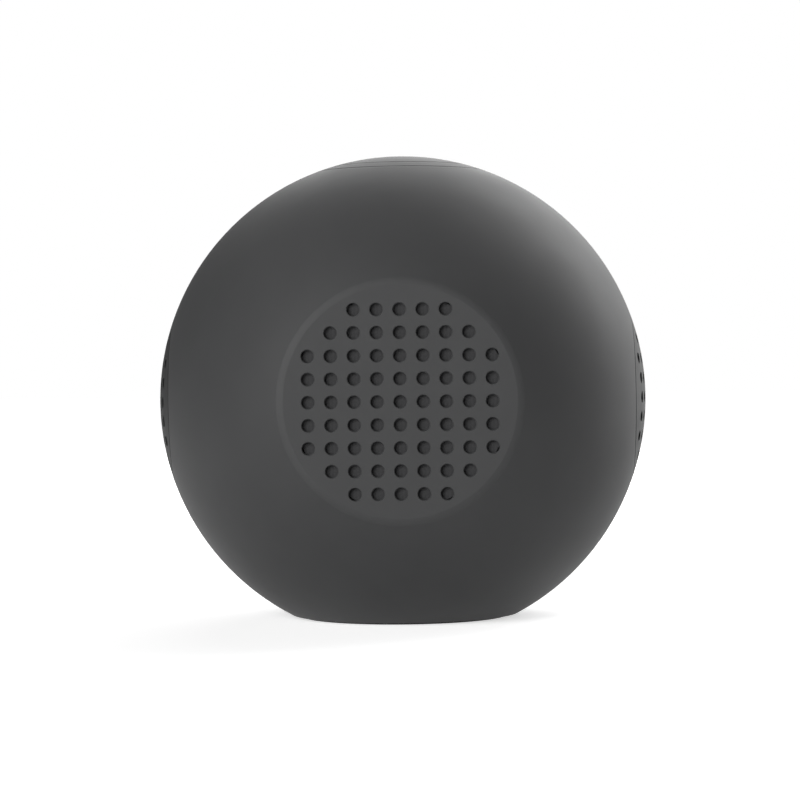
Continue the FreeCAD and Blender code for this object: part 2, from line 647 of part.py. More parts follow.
# Seats for the caps, the top ring, the base plate and the window, each with a ledge behind
seats = []
for side, name in ((-1, "left"), (1, "right")):
    far = past_ball * side
    seat = side_seat * side
    near = (side_floor - overrun) * side
    low, high = (seat, far) if side > 0 else (far, seat)
    seats.append(rod(f"{name}_seat", side_cap_radius + hairline / 2, "x", low, high))
    low, high = (near, seat) if side > 0 else (seat, near)
    seats.append(rod(f"{name}_opening", side_ledge_radius, "x", low, high))
seats.append(rod("top_seat", top_ring_radius + hairline / 2, "z", top_seat, ball_top + overrun))
seats.append(rod("top_opening", top_ledge_radius, "z", top_floor - overrun, top_seat))
seats.append(
    rod("base_seat", base_plate_radius + base_plate_clearance, "z", -overrun, base_plate_top)
)
seats.append(
    rod("base_opening", base_ledge_radius, "z", base_plate_top, base_ledge_top + overrun)
)
window_back = -front_plane + window_thickness
seats.append(
    rod("window_seat", window_radius + window_clearance, "y", -past_ball, window_back)
)
seats.append(rod("window_opening", window_ledge_radius, "y", window_back, overrun - front_floor))
shells = cut("shells", outside, hollow, *seats)

# The seam runs round the ball at its middle, with a lip of the rear shell behind it
rear_half = block(
    "rear_half", (-past_ball, past_ball), (seam_gap / 2, past_ball), (-overrun, ball_top + overrun)
)
lip_ball = globe("lip_ball", inner_radius + lip_thickness)
lip_span = block(
    "lip_span", (-past_ball, past_ball), (-lip_length, seam_gap), (-overrun, ball_top + overrun)
)
rear_share = join("rear_share", [rear_half, overlap("lip", lip_ball, lip_span)])
front_half = block(
    "front_half", (-past_ball, past_ball), (-past_ball, -seam_gap / 2), (-overrun, ball_top + overrun)
)
rebate_ball = globe("rebate_ball", inner_radius + lip_thickness + lip_clearance)
rebate_span = block(
    "rebate_span",
    (-past_ball, past_ball),
    (-lip_length - lip_clearance, seam_gap),
    (-overrun, ball_top + overrun),
)
front_share = cut("front_share", front_half, overlap("rebate", rebate_ball, rebate_span))

# Rear shell: moulded with its grille, a collar for the speaker and three screw bosses
collar_low = rear_floor - collar_depth
collar = ring(
    "collar", collar_radius + collar_wall, collar_radius, "y", collar_low, rear_floor
)
bosses = []
pilots = []
clamp_spots = []
for third in range(3):
    spot = on_circle(clamp_boss_circle, 90 + 120 * third)
    clamp_spots.append(spot)
    bosses.append(
        rod(f"clamp_boss_{third}", clamp_boss_radius, "y", collar_low, rear_floor, spot)
    )
    pilots.append(
        rod(
            f"clamp_pilot_{third}",
            screw_hole_radius,
            "y",
            collar_low - overrun,
            collar_low + clamp_screw_length - clamp_thickness + pilot_spare,
            spot,
        )
    )
boss_limit = globe("boss_limit", ball_radius - shell_wall / 2)
clamp_bosses = overlap("clamp_bosses", gather("boss_rods", bosses), boss_limit)
rear_body = join("rear_body", [overlap("rear_blank", shells, rear_share), collar, clamp_bosses])
grille = grid(
    "grille_hole", grille_pitch, grille_field_radius, grille_hole_radius,
    "y", rear_floor - overrun, rear_plane + overrun,
)
grille_mouths = mouths(
    "grille_mouth", grille_pitch, grille_field_radius, grille_hole_radius,
    "y", 1, lambda distance: rear_plane,
)
speaker_seat = rod("speaker_seat", collar_radius, "y", collar_low, rear_floor)
rear_shell = cut(
    "rear_shell", rear_body, speaker_seat, grille, grille_mouths, gather("clamp_pilots", pilots)
)
node(rear_shell, "rear_shell")

# Front shell: moulded with the seat for the window
node(overlap("front_shell", shells, front_share), "front_shell")

# Side caps: perforated domes, each with a rim that drops onto its ledge
cap_ball = globe("cap_ball", ball_radius)
cap_hollow_ball = globe("cap_hollow_ball", ball_radius - cap_thickness)
cap_radius = side_cap_radius - hairline / 2
for side, name in ((-1, "left_side_cap"), (1, "right_side_cap")):
    near = side_seat * side
    far = past_ball * side
    low, high = (near, far) if side > 0 else (far, near)
    plug = overlap(name + "_plug", rod(name + "_rod", cap_radius, "x", low, high), cap_ball)
    bore = rod(name + "_bore", cap_radius - cap_rim_width, "x", low - overrun, high + overrun)
    dish = overlap(name + "_dish", bore, cap_hollow_ball)
    holes = grid(
        name + "_hole", side_pitch, side_field_radius, side_hole_radius, "x", low + bite, high
    )
    hole_mouths = mouths(
        name + "_mouth", side_pitch, side_field_radius, side_hole_radius,
        "x", side, lambda distance: reach(ball_radius, distance),
    )
    node(cut(name, plug, dish, holes, hole_mouths), name)

# Acoustic meshes behind both side caps, resting on the ledges
left_mesh = rod("left_mesh", side_mesh_radius, "x", -side_seat - mesh_thickness, -side_seat)
right_mesh = rod("right_mesh", side_mesh_radius, "x", side_seat, side_seat + mesh_thickness)
node(gather("side_meshes", [left_mesh, right_mesh]), "side_meshes")

# Siren on the right ear of the chassis, sealed to its mesh by a gasket
siren_front = side_seat - gasket_depth
ear_face = siren_front - siren_length
siren_face = siren_front - siren_wall
siren_can = rod("siren_can", siren_radius, "x", ear_face, siren_front)
siren_cavity = rod(
    "siren_cavity", siren_radius - siren_wall, "x", ear_face + siren_wall, siren_face
)
siren_port = rod("siren_port", siren_port_radius, "x", siren_face - bite, siren_front + overrun)
node(cut("siren", siren_can, siren_cavity, siren_port), "siren")
node(
    ring("siren_gasket", siren_radius, siren_radius - gasket_width, "x", siren_front, side_seat),
    "siren_gasket",
)

# Microphone on the left ear: a small board, the capsule and a rubber boot up to the mesh
microphone_floor = -ear_face - board_thickness
node(
    rod("microphone_board", microphone_board_radius, "x", microphone_floor, -ear_face),
    "microphone_board",
)
capsule_front = microphone_floor - microphone_length
node(
    rod("microphone", microphone_radius, "x", capsule_front, microphone_floor), "microphone"
)
boot = rod("boot_outside", boot_radius, "x", -side_seat, microphone_floor)
boot_pocket = rod(
    "boot_pocket", microphone_radius, "x", capsule_front, microphone_floor + bite
)
boot_port = rod("boot_port", sound_port_radius, "x", -side_seat - overrun, capsule_front + bite)
node(cut("microphone_boot", boot, boot_pocket, boot_port), "microphone_boot")

# Top ring: turned trim, dropped onto its ledge across the seam
top_ball = globe("top_ball", ball_radius)
ring_blank = ring(
    "ring_blank",
    top_ring_radius - hairline / 2,
    top_button_radius + hairline / 2,
    "z",
    top_seat,
    ball_top + overrun,
)
node(overlap("top_ring", ring_blank, top_ball), "top_ring")

# Top button: a hollow dome with a flange under the ring and a stem down to its switch
button_radius = top_button_radius - hairline / 2
flange_top = top_seat - stop_clearance
flange_low = flange_top - button_flange_height
button_blank = overlap(
    "button_blank", rod("button_rod", button_radius, "z", flange_low, ball_top + overrun), top_ball
)
button_hollow = overlap(
    "button_hollow",
    rod("button_bore", button_radius - button_wall, "z", flange_low - overrun, ball_top),
    globe("button_hollow_ball", ball_radius - cap_thickness),
)
button_flange = ring(
    "button_flange", button_flange_radius, button_radius - button_wall, "z", flange_low, flange_top
)
button_stem = rod(
    "button_stem", button_stem_radius, "z", flange_low, ball_top - cap_thickness / 2
)
button_shell = cut("button_shell", button_blank, button_hollow)
node(join("top_button", [button_shell, button_flange, button_stem]), "top_button")

# The top switch on its own small board, its plunger touching the button's stem
switch_top = flange_low - plunger_proud
switch_floor = switch_top - switch_height
button_board_floor = switch_floor - board_thickness
switch_block = block(
    "switch_block", about(0, switch_width), about(0, switch_width), (switch_floor, switch_top)
)
switch_well = rod(
    "switch_well",
    plunger_radius + plunger_clearance,
    "z",
    switch_top - plunger_sunk - top_button_travel - bite,
    switch_top + overrun,
)
node(cut("top_switch", switch_block, switch_well), "top_switch")
node(
    rod("top_plunger", plunger_radius, "z", switch_top - plunger_sunk, flange_low),
    "top_plunger",
)
node(
    rod("button_board", button_board_radius, "z", button_board_floor, switch_floor),
    "button_board",
)

# Behind the grille: black mesh, then the foam ring that the speaker is pressed against
mesh_back = rear_floor - mesh_thickness
rim_front = mesh_back - speaker_gasket_thickness
node(rod("rear_mesh", speaker_radius, "y", mesh_back, rear_floor), "rear_mesh")
node(
    ring(
        "speaker_gasket",
        speaker_radius,
        speaker_radius - speaker_rim_width,
        "y",
        rim_front,
        mesh_back,
    ),
    "speaker_gasket",
)

# Speaker frame: a pressed basket with a stepped rim, drawn from its floor to its rim
yoke_radius = coil_middle_radius + coil_wire_width / 2 + magnet_gap + yoke_wall
rim_back = rim_front - speaker_rim_height
basket_floor = rim_back - basket_depth
rim_inner = speaker_radius - speaker_rim_width
step_radius = rim_inner - basket_wall
node(
    turned(
        "speaker_frame",
        "y",
        basket_floor,
        [
            (yoke_radius, 0),
            (yoke_radius + basket_floor_width, 0),
            (step_radius + basket_wall, basket_depth),
            (speaker_radius, basket_depth),
            (speaker_radius, basket_depth + speaker_rim_height),
            (rim_inner, basket_depth + speaker_rim_height),
            (rim_inner, basket_depth + basket_wall),
            (step_radius, basket_depth + basket_wall),
            (yoke_radius + basket_wall, basket_wall),
            (yoke_radius, basket_wall),
        ],
    ),
    "speaker_frame",
)

# Rubber surround: a half roll between the frame's step and the cone
surround_floor = rim_back + basket_wall
roll_radius = surround_width / 2
roll_middle = step_radius - roll_radius
surround_plate = ring(
    "surround_plate",
    rim_inner,
    step_radius - surround_width - basket_wall,
    "y",
    surround_floor,
    surround_floor + surround_thickness,
)
roll_outer = doc.addObject("Part::Torus", "roll_outer")
roll_inner = doc.addObject("Part::Torus", "roll_inner")
for roll, radius in ((roll_outer, roll_radius), (roll_inner, roll_radius - surround_thickness)):
    bind(roll, "Radius1", roll_middle)
    bind(roll, "Radius2", radius)
    place(roll, "y", surround_floor)
above_floor = rod("above_floor", speaker_radius, "y", surround_floor, rear_floor)
surround_flat = cut(
    "surround_flat",
    surround_plate,
    ring(
        "surround_trough",
        roll_middle + roll_radius - surround_thickness,
        roll_middle - roll_radius + surround_thickness,
        "y",
        surround_floor - overrun,
        rear_floor,
    ),
)
surround_roll = overlap("surround_roll", cut("roll_tube", roll_outer, roll_inner), above_floor)
node(join("speaker_surround", [surround_flat, surround_roll]), "speaker_surround")

# Cone: a shallow paper cone with a domed cap, its rim under the surround
cone_rim = step_radius - surround_width
cone_neck = coil_middle_radius - coil_wire_width / 2
cone_wall = turned(
    "cone_wall",
    "y",
    surround_floor - cone_depth,
    [
        (cone_neck, 0),
        (cone_neck + cone_thickness * 2, 0),
        (cone_rim, cone_depth - cone_thickness),
        (cone_rim, cone_depth),
        (cone_rim - cone_thickness * 2, cone_depth),
        (cone_neck, cone_thickness * 1.5),
    ],
)
dome_sink = reach(dome_curve, cone_neck + cone_thickness)
dome_middle = (0, surround_floor - cone_depth - dome_sink, ball_height)
dome_shell = cut(
    "dome_shell",
    globe("dome_outside", dome_curve, dome_middle),
    globe("dome_inside", dome_curve - cone_thickness, dome_middle),
)
dome_limit = rod(
    "dome_limit", cone_neck + cone_thickness, "y", surround_floor - cone_depth, rear_floor
)
cone_dome = overlap("cone_dome", dome_shell, dome_limit)
node(join("speaker_cone", [cone_wall, cone_dome]), "speaker_cone")

# Voice coil: hangs from the cone's neck into the gap of the magnet
coil_top = surround_floor - cone_depth
node(
    ring(
        "voice_coil",
        coil_middle_radius + coil_wire_width / 2,
        coil_middle_radius - coil_wire_width / 2,
        "y",
        coil_top - voice_coil_length,
        coil_top,
    ),
    "voice_coil",
)

# Motor of the speaker: steel yoke, magnet and pole plate inside the coil
pole_radius = coil_middle_radius - coil_wire_width / 2 - magnet_gap
pole_top = basket_floor + basket_wall
magnet_top = pole_top - pole_thickness
magnet_low = magnet_top - magnet_length
yoke_low = magnet_low - yoke_wall
node(rod("pole_plate", pole_radius, "y", magnet_top, pole_top), "pole_plate")
node(rod("speaker_magnet", pole_radius, "y", magnet_low, magnet_top), "speaker_magnet")
yoke_pot = rod("yoke_pot", yoke_radius, "y", yoke_low, pole_top)
yoke_well = rod("yoke_well", yoke_radius - yoke_wall, "y", magnet_low, pole_top + overrun)
node(cut("speaker_yoke", yoke_pot, yoke_well), "speaker_yoke")

# Clamp ring: presses the speaker's rim home and is screwed to the shell's three bosses
clamp_back = collar_low - clamp_thickness
clamp_skirt = ring(
    "clamp_skirt", speaker_radius, speaker_radius - clamp_skirt_wall, "y", collar_low, rim_back
)
clamp_disc = rod("clamp_disc", collar_radius + collar_wall, "y", clamp_back, collar_low)
ears = []
for third, spot in enumerate(clamp_spots):
    ears.append(rod(f"clamp_ear_{third}", clamp_boss_radius, "y", clamp_back, collar_low, spot))
    web_spot = on_circle(clamp_boss_circle - clamp_boss_radius, 90 + 120 * third)
    ears.append(
        rod(f"clamp_web_{third}", clamp_boss_radius, "y", clamp_back, collar_low, web_spot)
    )
clamp_blank = join("clamp_blank", [clamp_disc, clamp_skirt] + ears)
clamp_inner = speaker_radius - clamp_skirt_wall
clamp_bore = rod("clamp_bore", clamp_inner, "y", clamp_back - overrun, collar_low + overrun)
clamp_holes = [
    rod(f"clamp_hole_{third}", screw_hole_radius, "y", clamp_back - overrun, collar_low + overrun, spot)
    for third, spot in enumerate(clamp_spots)
]
node(
    cut("speaker_clamp", clamp_blank, clamp_bore, gather("clamp_holes", clamp_holes)),
    "speaker_clamp",
)
clamp_screws = [
    screw(f"clamp_screw_{third}", "y", clamp_back - screw_head_height, clamp_screw_length, spot)
    for third, spot in enumerate(clamp_spots)
]
node(gather("clamp_screws", clamp_screws), "clamp_screws")

# Front window: a disc of dark acrylic, flush in its seat, bored for the lens
window_front = -front_plane
node(
    ring(
        "front_window",
        window_radius,
        bezel_neck_radius + window_clearance,
        "y",
        window_front,
        window_back,
    ),
    "front_window",
)

# Lens bezel: a turned ring with a flared mouth, its neck through the window
bezel_length = bezel_neck_length + bezel_proud
bezel_back = window_front + bezel_neck_length
node(
    turned(
        "lens_bezel",
        "y",
        bezel_back,
        [
            (bezel_throat_radius, 0),
            (bezel_neck_radius, 0),
            (bezel_neck_radius, bezel_neck_length),
            (bezel_radius, bezel_neck_length),
            (bezel_radius, bezel_length - edge_break),
            (bezel_radius - edge_break, bezel_length),
            (bezel_mouth_radius, bezel_length),
        ],
        backwards=True,
    ),
    "lens_bezel",
)

# Lens barrel behind the bezel, sealed by a thin gasket
head_front = bezel_back + lens_gasket_thickness
node(
    ring("lens_gasket", barrel_head_radius, bezel_throat_radius, "y", bezel_back, head_front),
    "lens_gasket",
)
head_back = head_front + barrel_head_length
barrel_back = head_back + barrel_thread_length
barrel_length = barrel_head_length + barrel_thread_length
node(
    turned(
        "lens_barrel",
        "y",
        barrel_back,
        [
            (barrel_bore_radius, 0),
            (barrel_thread_radius, 0),
            (barrel_thread_radius, barrel_thread_length),
            (barrel_head_radius, barrel_thread_length),
            (barrel_head_radius, barrel_length),
            (front_lens_radius, barrel_length),
            (front_lens_radius, barrel_length - front_lens_edge),
            (barrel_bore_radius, barrel_length - front_lens_edge),
        ],
        backwards=True,
    ),
    "lens_barrel",
)

# Front glass: domed, standing out of the barrel into the bezel's throat
glass_back = head_front + front_lens_edge
glass_front = head_front - front_lens_bulge
glass_disc = rod("glass_disc", front_lens_radius, "y", glass_front, glass_back)
glass_middle = (0, glass_front + front_lens_curve, ball_height)
glass_curve = globe("glass_curve", front_lens_curve, glass_middle)
node(overlap("front_lens", glass_disc, glass_curve), "front_lens")

# Inner lenses: three more glasses in the barrel's bore
inner_lenses = []
for number in range(3):
    lens_front = glass_back + inner_lens_spacing * number + inner_lens_spacing / 2
    lens_back = lens_front + inner_lens_thickness
    inner_lenses.append(
        rod(f"inner_lens_{number}", barrel_bore_radius, "y", lens_front, lens_back)
    )
node(gather("lens_elements", inner_lenses), "lens_elements")

# Lens holder: moulded tube and base on the main board, with the filter's slot and sensor pocket
lock_back = head_back + lock_ring_length + lock_ring_gap
tube_front = lock_back
tube_back = tube_front + holder_tube_length
board_front = tube_back + holder_depth
slot_front = tube_back + slot_wall
slot_depth = slider_thickness + slider_clearance * 2
slot_back = slot_front + slot_depth
slider_height = pane_width + slider_margin * 2
slider_width = filter_travel + pane_width + slider_margin * 2
slot_half_width = slider_width / 2 + filter_travel / 2 + slider_clearance
pocket_front = slot_back + pocket_wall
holder_tube = rod("holder_tube", holder_radius, "y", tube_front, tube_back)
holder_base = block(
    "holder_base",
    about(0, holder_width),
    (tube_back, board_front),
    about(ball_height, holder_height),
)
holder_bore = rod(
    "holder_bore",
    barrel_thread_radius + thread_clearance,
    "y",
    tube_front - overrun,
    barrel_back + thread_clearance,
)
light_path = rod("light_path", aperture_radius, "y", barrel_back, pocket_front + bite)
filter_slot = block(
    "filter_slot",
    (-slot_half_width, slot_half_width),
    (slot_front, slot_back),
    about(ball_height, slider_height + slider_clearance * 2),
)
sensor_pocket = block(
    "sensor_pocket",
    about(0, sensor_width + pocket_clearance * 2),
    (pocket_front, board_front + overrun),
    about(ball_height, sensor_height + pocket_clearance * 2),
)
rod_line = (slot_front + slot_depth / 2, ball_height)
rod_way_radius = pull_rod_radius + slider_clearance
rod_hole = rod(
    "rod_hole", rod_way_radius, "x", slot_half_width - bite, holder_width / 2 + overrun, rod_line
)
node(
    cut(
        "lens_holder",
        join("holder_blank", [holder_tube, holder_base]),
        holder_bore,
        light_path,
        filter_slot,
        sensor_pocket,
        rod_hole,
    ),
    "lens_holder",
)

# Lock ring: screwed along the barrel against the holder to hold the focus
node(
    ring(
        "lens_lock_ring",
        lock_ring_radius,
        barrel_thread_radius,
        "y",
        lock_back - lock_ring_length,
        lock_back,
    ),
    "lens_lock_ring",
)

# Filter slider: a frame with two panes; the infrared pane is in the light path at rest
slider_left = -(filter_travel + pane_width / 2 + slider_margin)
slider_right = pane_width / 2 + slider_margin
slider_front = slot_front + slider_clearance
slider_back = slider_front + slider_thickness
slider_plate = block(
    "slider_plate",
    (slider_left, slider_right),
    (slider_front, slider_back),
    about(ball_height, slider_height),
)
pull_rod = rod(
    "pull_rod", pull_rod_radius, "x", slider_right - bite, holder_width / 2 + pull_rod_reach, rod_line
)
pull_rod_flat = block(
    "pull_rod_flat",
    (slider_right - overrun, holder_width / 2 + pull_rod_reach + overrun),
    (slider_front, slider_back),
    about(ball_height, coil_radius),
)
pane_windows = []
panes = []
pane_front = slider_front + (slider_thickness - pane_thickness) / 2
for number in range(2):
    middle = -filter_travel * number
    pane_windows.append(
        block(
            f"pane_window_{number}",
            about(middle, pane_width),
            (slider_front - overrun, slider_back + overrun),
            about(ball_height, pane_width),
        )
    )
    panes.append(
        block(
            f"pane_{number}",
            about(middle, pane_width),
            (pane_front, pane_front + pane_thickness),
            about(ball_height, pane_width),
        )
    )
slider_frame = cut("slider_frame", slider_plate, gather("pane_windows", pane_windows))
slider_rod = overlap("slider_rod", pull_rod, pull_rod_flat)
node(join("filter_slider", [slider_frame, slider_rod]), "filter_slider")
node(gather("filter_panes", panes), "filter_panes")

# Filter coil: wound bobbin on the holder's right side, the pull rod running in its bore
coil_start = holder_width / 2
coil_end = coil_start + pull_rod_reach + filter_travel + coil_spare + coil_flange
coil_winding = rod("coil_winding", coil_radius - coil_flange, "x", coil_start, coil_end, rod_line)
coil_flanges = [
    rod("coil_flange_0", coil_radius, "x", coil_start, coil_start + coil_flange, rod_line),
    rod("coil_flange_1", coil_radius, "x", coil_end - coil_flange, coil_end, rod_line),
]
coil_bore = rod(
    "coil_bore", rod_way_radius, "x", coil_start - overrun, coil_end - coil_flange, rod_line
)
node(
    cut("filter_coil", join("coil_blank", [coil_winding] + coil_flanges), coil_bore), "filter_coil"
)

# Image sensor in the holder's pocket, on the front of the main board
node(
    block(
        "image_sensor",
        about(0, sensor_width),
        (board_front - sensor_thickness, board_front),
        about(ball_height, sensor_height),
    ),
    "image_sensor",
)

# Lamp board: a ring behind the window with six infrared lamps, a light sensor and a status lamp
lamp_board_front = -front_floor
node(
    ring(
        "infrared_board",
        lamp_board_radius,
        lamp_board_bore,
        "y",
        lamp_board_front,
        lamp_board_front + board_thickness,
    ),
    "infrared_board",
)
lamps = []
for eighth in range(8):
    if eighth in (2, 6):
        continue
    across, up = on_circle(lamp_circle_radius, 45 * eighth)
    package_front = lamp_board_front - lamp_base_height
    package = block(
        f"lamp_package_{eighth}",
        about(across, lamp_width),
        (package_front, lamp_board_front),
        about(up, lamp_width),
    )
    dome = doc.addObject("Part::Cone", f"lamp_dome_{eighth}")
    bind(dome, "Radius1", lamp_lens_radius)
    bind(dome, "Radius2", lamp_lens_top_radius)
    bind(dome, "Height", lamp_lens_height)
    place(dome, "y", package_front, (across, up), backwards=True)
    lamps.append(join(f"lamp_{eighth}", [package, dome]))
node(gather("infrared_leds", lamps), "infrared_leds")
node(
    block(
        "light_sensor",
        about(0, light_sensor_width),
        (lamp_board_front - light_sensor_height, lamp_board_front),
        about(ball_height + lamp_circle_radius, light_sensor_width),
    ),
    "light_sensor",
)
node(
    block(
        "status_led",
        about(0, status_lamp_width),
        (lamp_board_front - status_lamp_height, lamp_board_front),
        about(ball_height - lamp_circle_radius, status_lamp_width),
    ),
    "status_led",
)

# Main board, carrying sensor and lens in front, processor, radio and card socket behind
board_back = board_front + board_thickness
main_board_blank = board(
    "main_board_blank",
    main_board_width,
    ball_height - main_board_down,
    ball_height + main_board_up,
    "y",
    board_back,
    board_thickness,
)
post_spots = [
    (post_x * side, ball_height + up)
    for side in (-1, 1)
    for up in (post_up, -post_down)
]
board_holes = [
    rod(
        f"board_hole_{number}",
        screw_hole_radius,
        "y",
        board_front - overrun,
        board_back + overrun,
        spot,
    )
    for number, spot in enumerate(post_spots)
]
node(cut("main_board", main_board_blank, gather("board_holes", board_holes)), "main_board")
board_screws = [
    screw(f"board_screw_{number}", "y", board_front - screw_head_height, screw_length, spot)
    for number, spot in enumerate(post_spots)
]
node(gather("board_screws", board_screws), "board_screws")
processor_right = -chip_gap / 2
node(
    block(
        "processor",
        (processor_right - processor_width, processor_right),
        (board_back, board_back + processor_height),
        about(ball_height, processor_width),
    ),
    "processor",
)
shield_left = chip_gap / 2
shield_block = block(
    "shield_block",
    (shield_left, shield_left + shield_width),
    (board_back, board_back + shield_height),
    about(ball_height, shield_length),
)
shield_hollow = block(
    "shield_hollow",
    (shield_left + shield_wall, shield_left + shield_width - shield_wall),
    (board_back - overrun, board_back + shield_height - shield_wall),
    about(ball_height, shield_length - shield_wall * 2),
)
node(cut("shield_can", shield_block, shield_hollow), "shield_can")

# Card socket: hangs from the board's lower edge with its mouth over the slot in the base plate
card_back = board_back + card_socket_height
card_middle = board_back + card_socket_height / 2
card_mouth = base_plate_top + stop_clearance
card_body = block(
    "card_body",
    about(0, card_socket_width),
    (board_back, card_back),
    (card_mouth, card_mouth + card_socket_length),
)
card_space = block(
    "card_space",
    about(0, card_width),
    about(card_middle, card_gap),
    (card_mouth - overrun, card_mouth + card_socket_length - shield_wall * 2),
)
node(cut("card_socket", card_body, card_space), "card_socket")

# Chassis: one moulding that carries both boards, battery, siren, microphone and top switch
plate_front = -chassis_front
plate_back = plate_front + chassis_wall
port_board_low = base_plate_top + tripod_boss_height
port_board_top = port_board_low + board_thickness
chassis_limit = globe("chassis_limit", inner_radius - chassis_clearance)
plate_block = block(
    "plate_block",
    about(0, ear_face * 2),
    (plate_front, plate_back),
    (base_ledge_top, button_board_floor - chassis_wall / 2),
)
chassis_plate = overlap("chassis_plate", plate_block, chassis_limit)
battery_low = ball_height + battery_lift - battery_height / 2
battery_high = battery_low + battery_height
battery_front = plate_back + battery_clearance
battery_back = battery_front + battery_thickness
tray_inner = battery_width / 2 + battery_clearance
tray_outer = tray_inner + chassis_wall
tray_parts = []
for side, name in ((-1, "left"), (1, "right")):
    near = tray_inner * side
    far = tray_outer * side
    low, high = (near, far) if side > 0 else (far, near)
    tray_parts.append(
        block(
            f"tray_{name}",
            (low, high),
            (plate_front, plate_back + tray_depth),
            (battery_low - battery_clearance - chassis_wall, battery_high),
        )
    )
tray_parts.append(
    block(
        "tray_floor",
        (-tray_outer, tray_outer),
        (plate_front, plate_back + tray_depth),
        (battery_low - battery_clearance - chassis_wall, battery_low - battery_clearance),
    )
)
tray = overlap("tray", join("tray_blank", tray_parts), chassis_limit)
chassis_floor = rod(
    "chassis_floor", chassis_floor_radius, "z", base_ledge_top, base_ledge_top + chassis_wall
)
shelf = rod(
    "shelf", button_board_radius, "z", button_board_floor - chassis_wall, button_board_floor
)
ears = [
    rod("left_ear", ear_radius, "x", -ear_face, chassis_wall - ear_face),
    rod("right_ear", ear_radius, "x", ear_face - chassis_wall, ear_face),
]
screw_spots = corners_of_four(base_screw_x, base_screw_y)
floor_posts = [
    rod(f"floor_post_{number}", post_radius, "z", base_plate_top, port_board_low, spot)
    for number, spot in enumerate(screw_spots)
]
board_posts = [
    rod(f"board_post_{number}", post_radius, "y", board_back, plate_front + chassis_wall / 2, spot)
    for number, spot in enumerate(post_spots)
]
screw_head_low = base_floor + screw_head_sunk
screw_tip = screw_head_low + screw_head_height + screw_length
floor_pilots = [
    rod(
        f"floor_pilot_{number}",
        screw_hole_radius,
        "z",
        base_plate_top - overrun,
        screw_tip + pilot_spare,
        spot,
    )
    for number, spot in enumerate(screw_spots)
]
board_pilots = [
    rod(
        f"board_pilot_{number}",
        screw_hole_radius,
        "y",
        board_back - overrun,
        board_front + screw_length + pilot_spare,
        spot,
    )
    for number, spot in enumerate(post_spots)
]


def slot_shape(name, width, height, middle, low, high):
    """An upright slot with round ends, as a charge socket has."""
    half = (as_size(width) - height) / 2
    straight = block(name + "_straight", (-half, half), about(middle, height), (low, high))
    left = rod(name + "_left", as_size(height) / 2, "z", low, high, (-half, middle))
    right = rod(name + "_right", as_size(height) / 2, "z", low, high, (half, middle))
    return join(name, [straight, left, right])


# What passes through the chassis's floor gets a hole with some space round it
floor_low = base_ledge_top - overrun
floor_high = base_ledge_top + chassis_wall + overrun
tripod_boss_radius = tripod_insert_radius + tripod_boss_wall
power_space = power_switch_length + floor_clearance * 2
passages = [
    rod("boss_passage", tripod_boss_radius + floor_clearance, "z", floor_low, floor_high),
    slot_shape(
        "charge_passage",
        socket_width + floor_clearance * 2,
        socket_height + floor_clearance * 2,
        socket_offset,
        floor_low,
        floor_high,
    ),
    rod(
        "reset_passage",
        reset_collar_radius + floor_clearance,
        "z",
        floor_low,
        floor_high,
        (small_part_offset, 0),
    ),
    block(
        "power_passage",
        about(-small_part_offset, power_switch_width + floor_clearance * 2),
        about(0, power_space),
        (floor_low, floor_high),
    ),
    block(
        "card_passage",
        about(0, card_socket_width + floor_clearance * 2),
        about(card_middle, card_socket_height + floor_clearance * 2),
        (floor_low, floor_high),
    ),
]
port_window = block(
    "port_window",
    about(0, port_board_width + floor_clearance * 2),
    (plate_front - overrun, plate_back + overrun),
    (base_ledge_top + chassis_wall, port_board_top + floor_clearance),
)
chassis_blank = join("chassis_blank", [chassis_plate, tray, chassis_floor, shelf] + ears)
chassis_open = cut("chassis_open", chassis_blank, port_window, *passages)
node(
    cut(
        "chassis",
        join("chassis_posted", [chassis_open] + floor_posts + board_posts),
        gather("floor_pilots", floor_pilots),
        gather("board_pilots", board_pilots),
    ),
    "chassis",
)

# Battery: a pouch cell in the chassis's tray
battery_block = block(
    "battery_block",
    about(0, battery_width),
    (battery_front, battery_back),
    (battery_low, battery_high),
)
node(round_edges("battery_cell", battery_block, battery_corner, upright), "battery_cell")

# Port board: rests on the chassis's posts over everything that is reached from below
node(
    board(
        "port_board",
        port_board_width,
        -port_board_front,
        port_board_rear,
        "z",
        port_board_low,
        board_thickness,
    ),
    "port_board",
)

# Base plate: turned up from below, with a boss for the tripod thread and a groove for the foot
boss_top = port_board_low - stop_clearance
base_disc = rod("base_disc", base_plate_radius, "z", base_floor, base_plate_top)
tripod_boss = rod("tripod_boss", tripod_boss_radius, "z", base_floor, boss_top)
insert_low = base_floor + tripod_insert_sunk
insert_top = insert_low + tripod_insert_length
insert_hole = rod("insert_hole", tripod_insert_radius, "z", base_floor - overrun, insert_top)
foot_groove = ring(
    "foot_groove",
    foot_radius + foot_clearance,
    foot_bore - foot_clearance,
    "z",
    base_floor - overrun,
    base_floor + foot_sunk,
)
charge_hole = slot_shape(
    "charge_hole",
    socket_width + socket_clearance * 2,
    socket_height + socket_clearance * 2,
    socket_offset,
    base_floor - overrun,
    base_plate_top + overrun,
)
card_hole = block(
    "card_hole",
    about(0, card_width + card_slot_margin * 2),
    about(card_middle, card_gap + card_slot_margin * 2),
    (base_floor - overrun, base_plate_top + overrun),
)
reset_spot = (small_part_offset, 0)
reset_way_radius = reset_radius + reset_clearance
reset_hole = rod(
    "reset_hole", reset_way_radius, "z", base_floor - overrun, base_plate_top + overrun, reset_spot
)
power_middle = -small_part_offset
power_hole = block(
    "power_hole",
    about(power_middle, power_knob_width + power_clearance * 2),
    about(0, power_knob_width + power_travel + power_clearance * 2),
    (base_floor - overrun, base_plate_top + overrun),
)
screw_holes = []
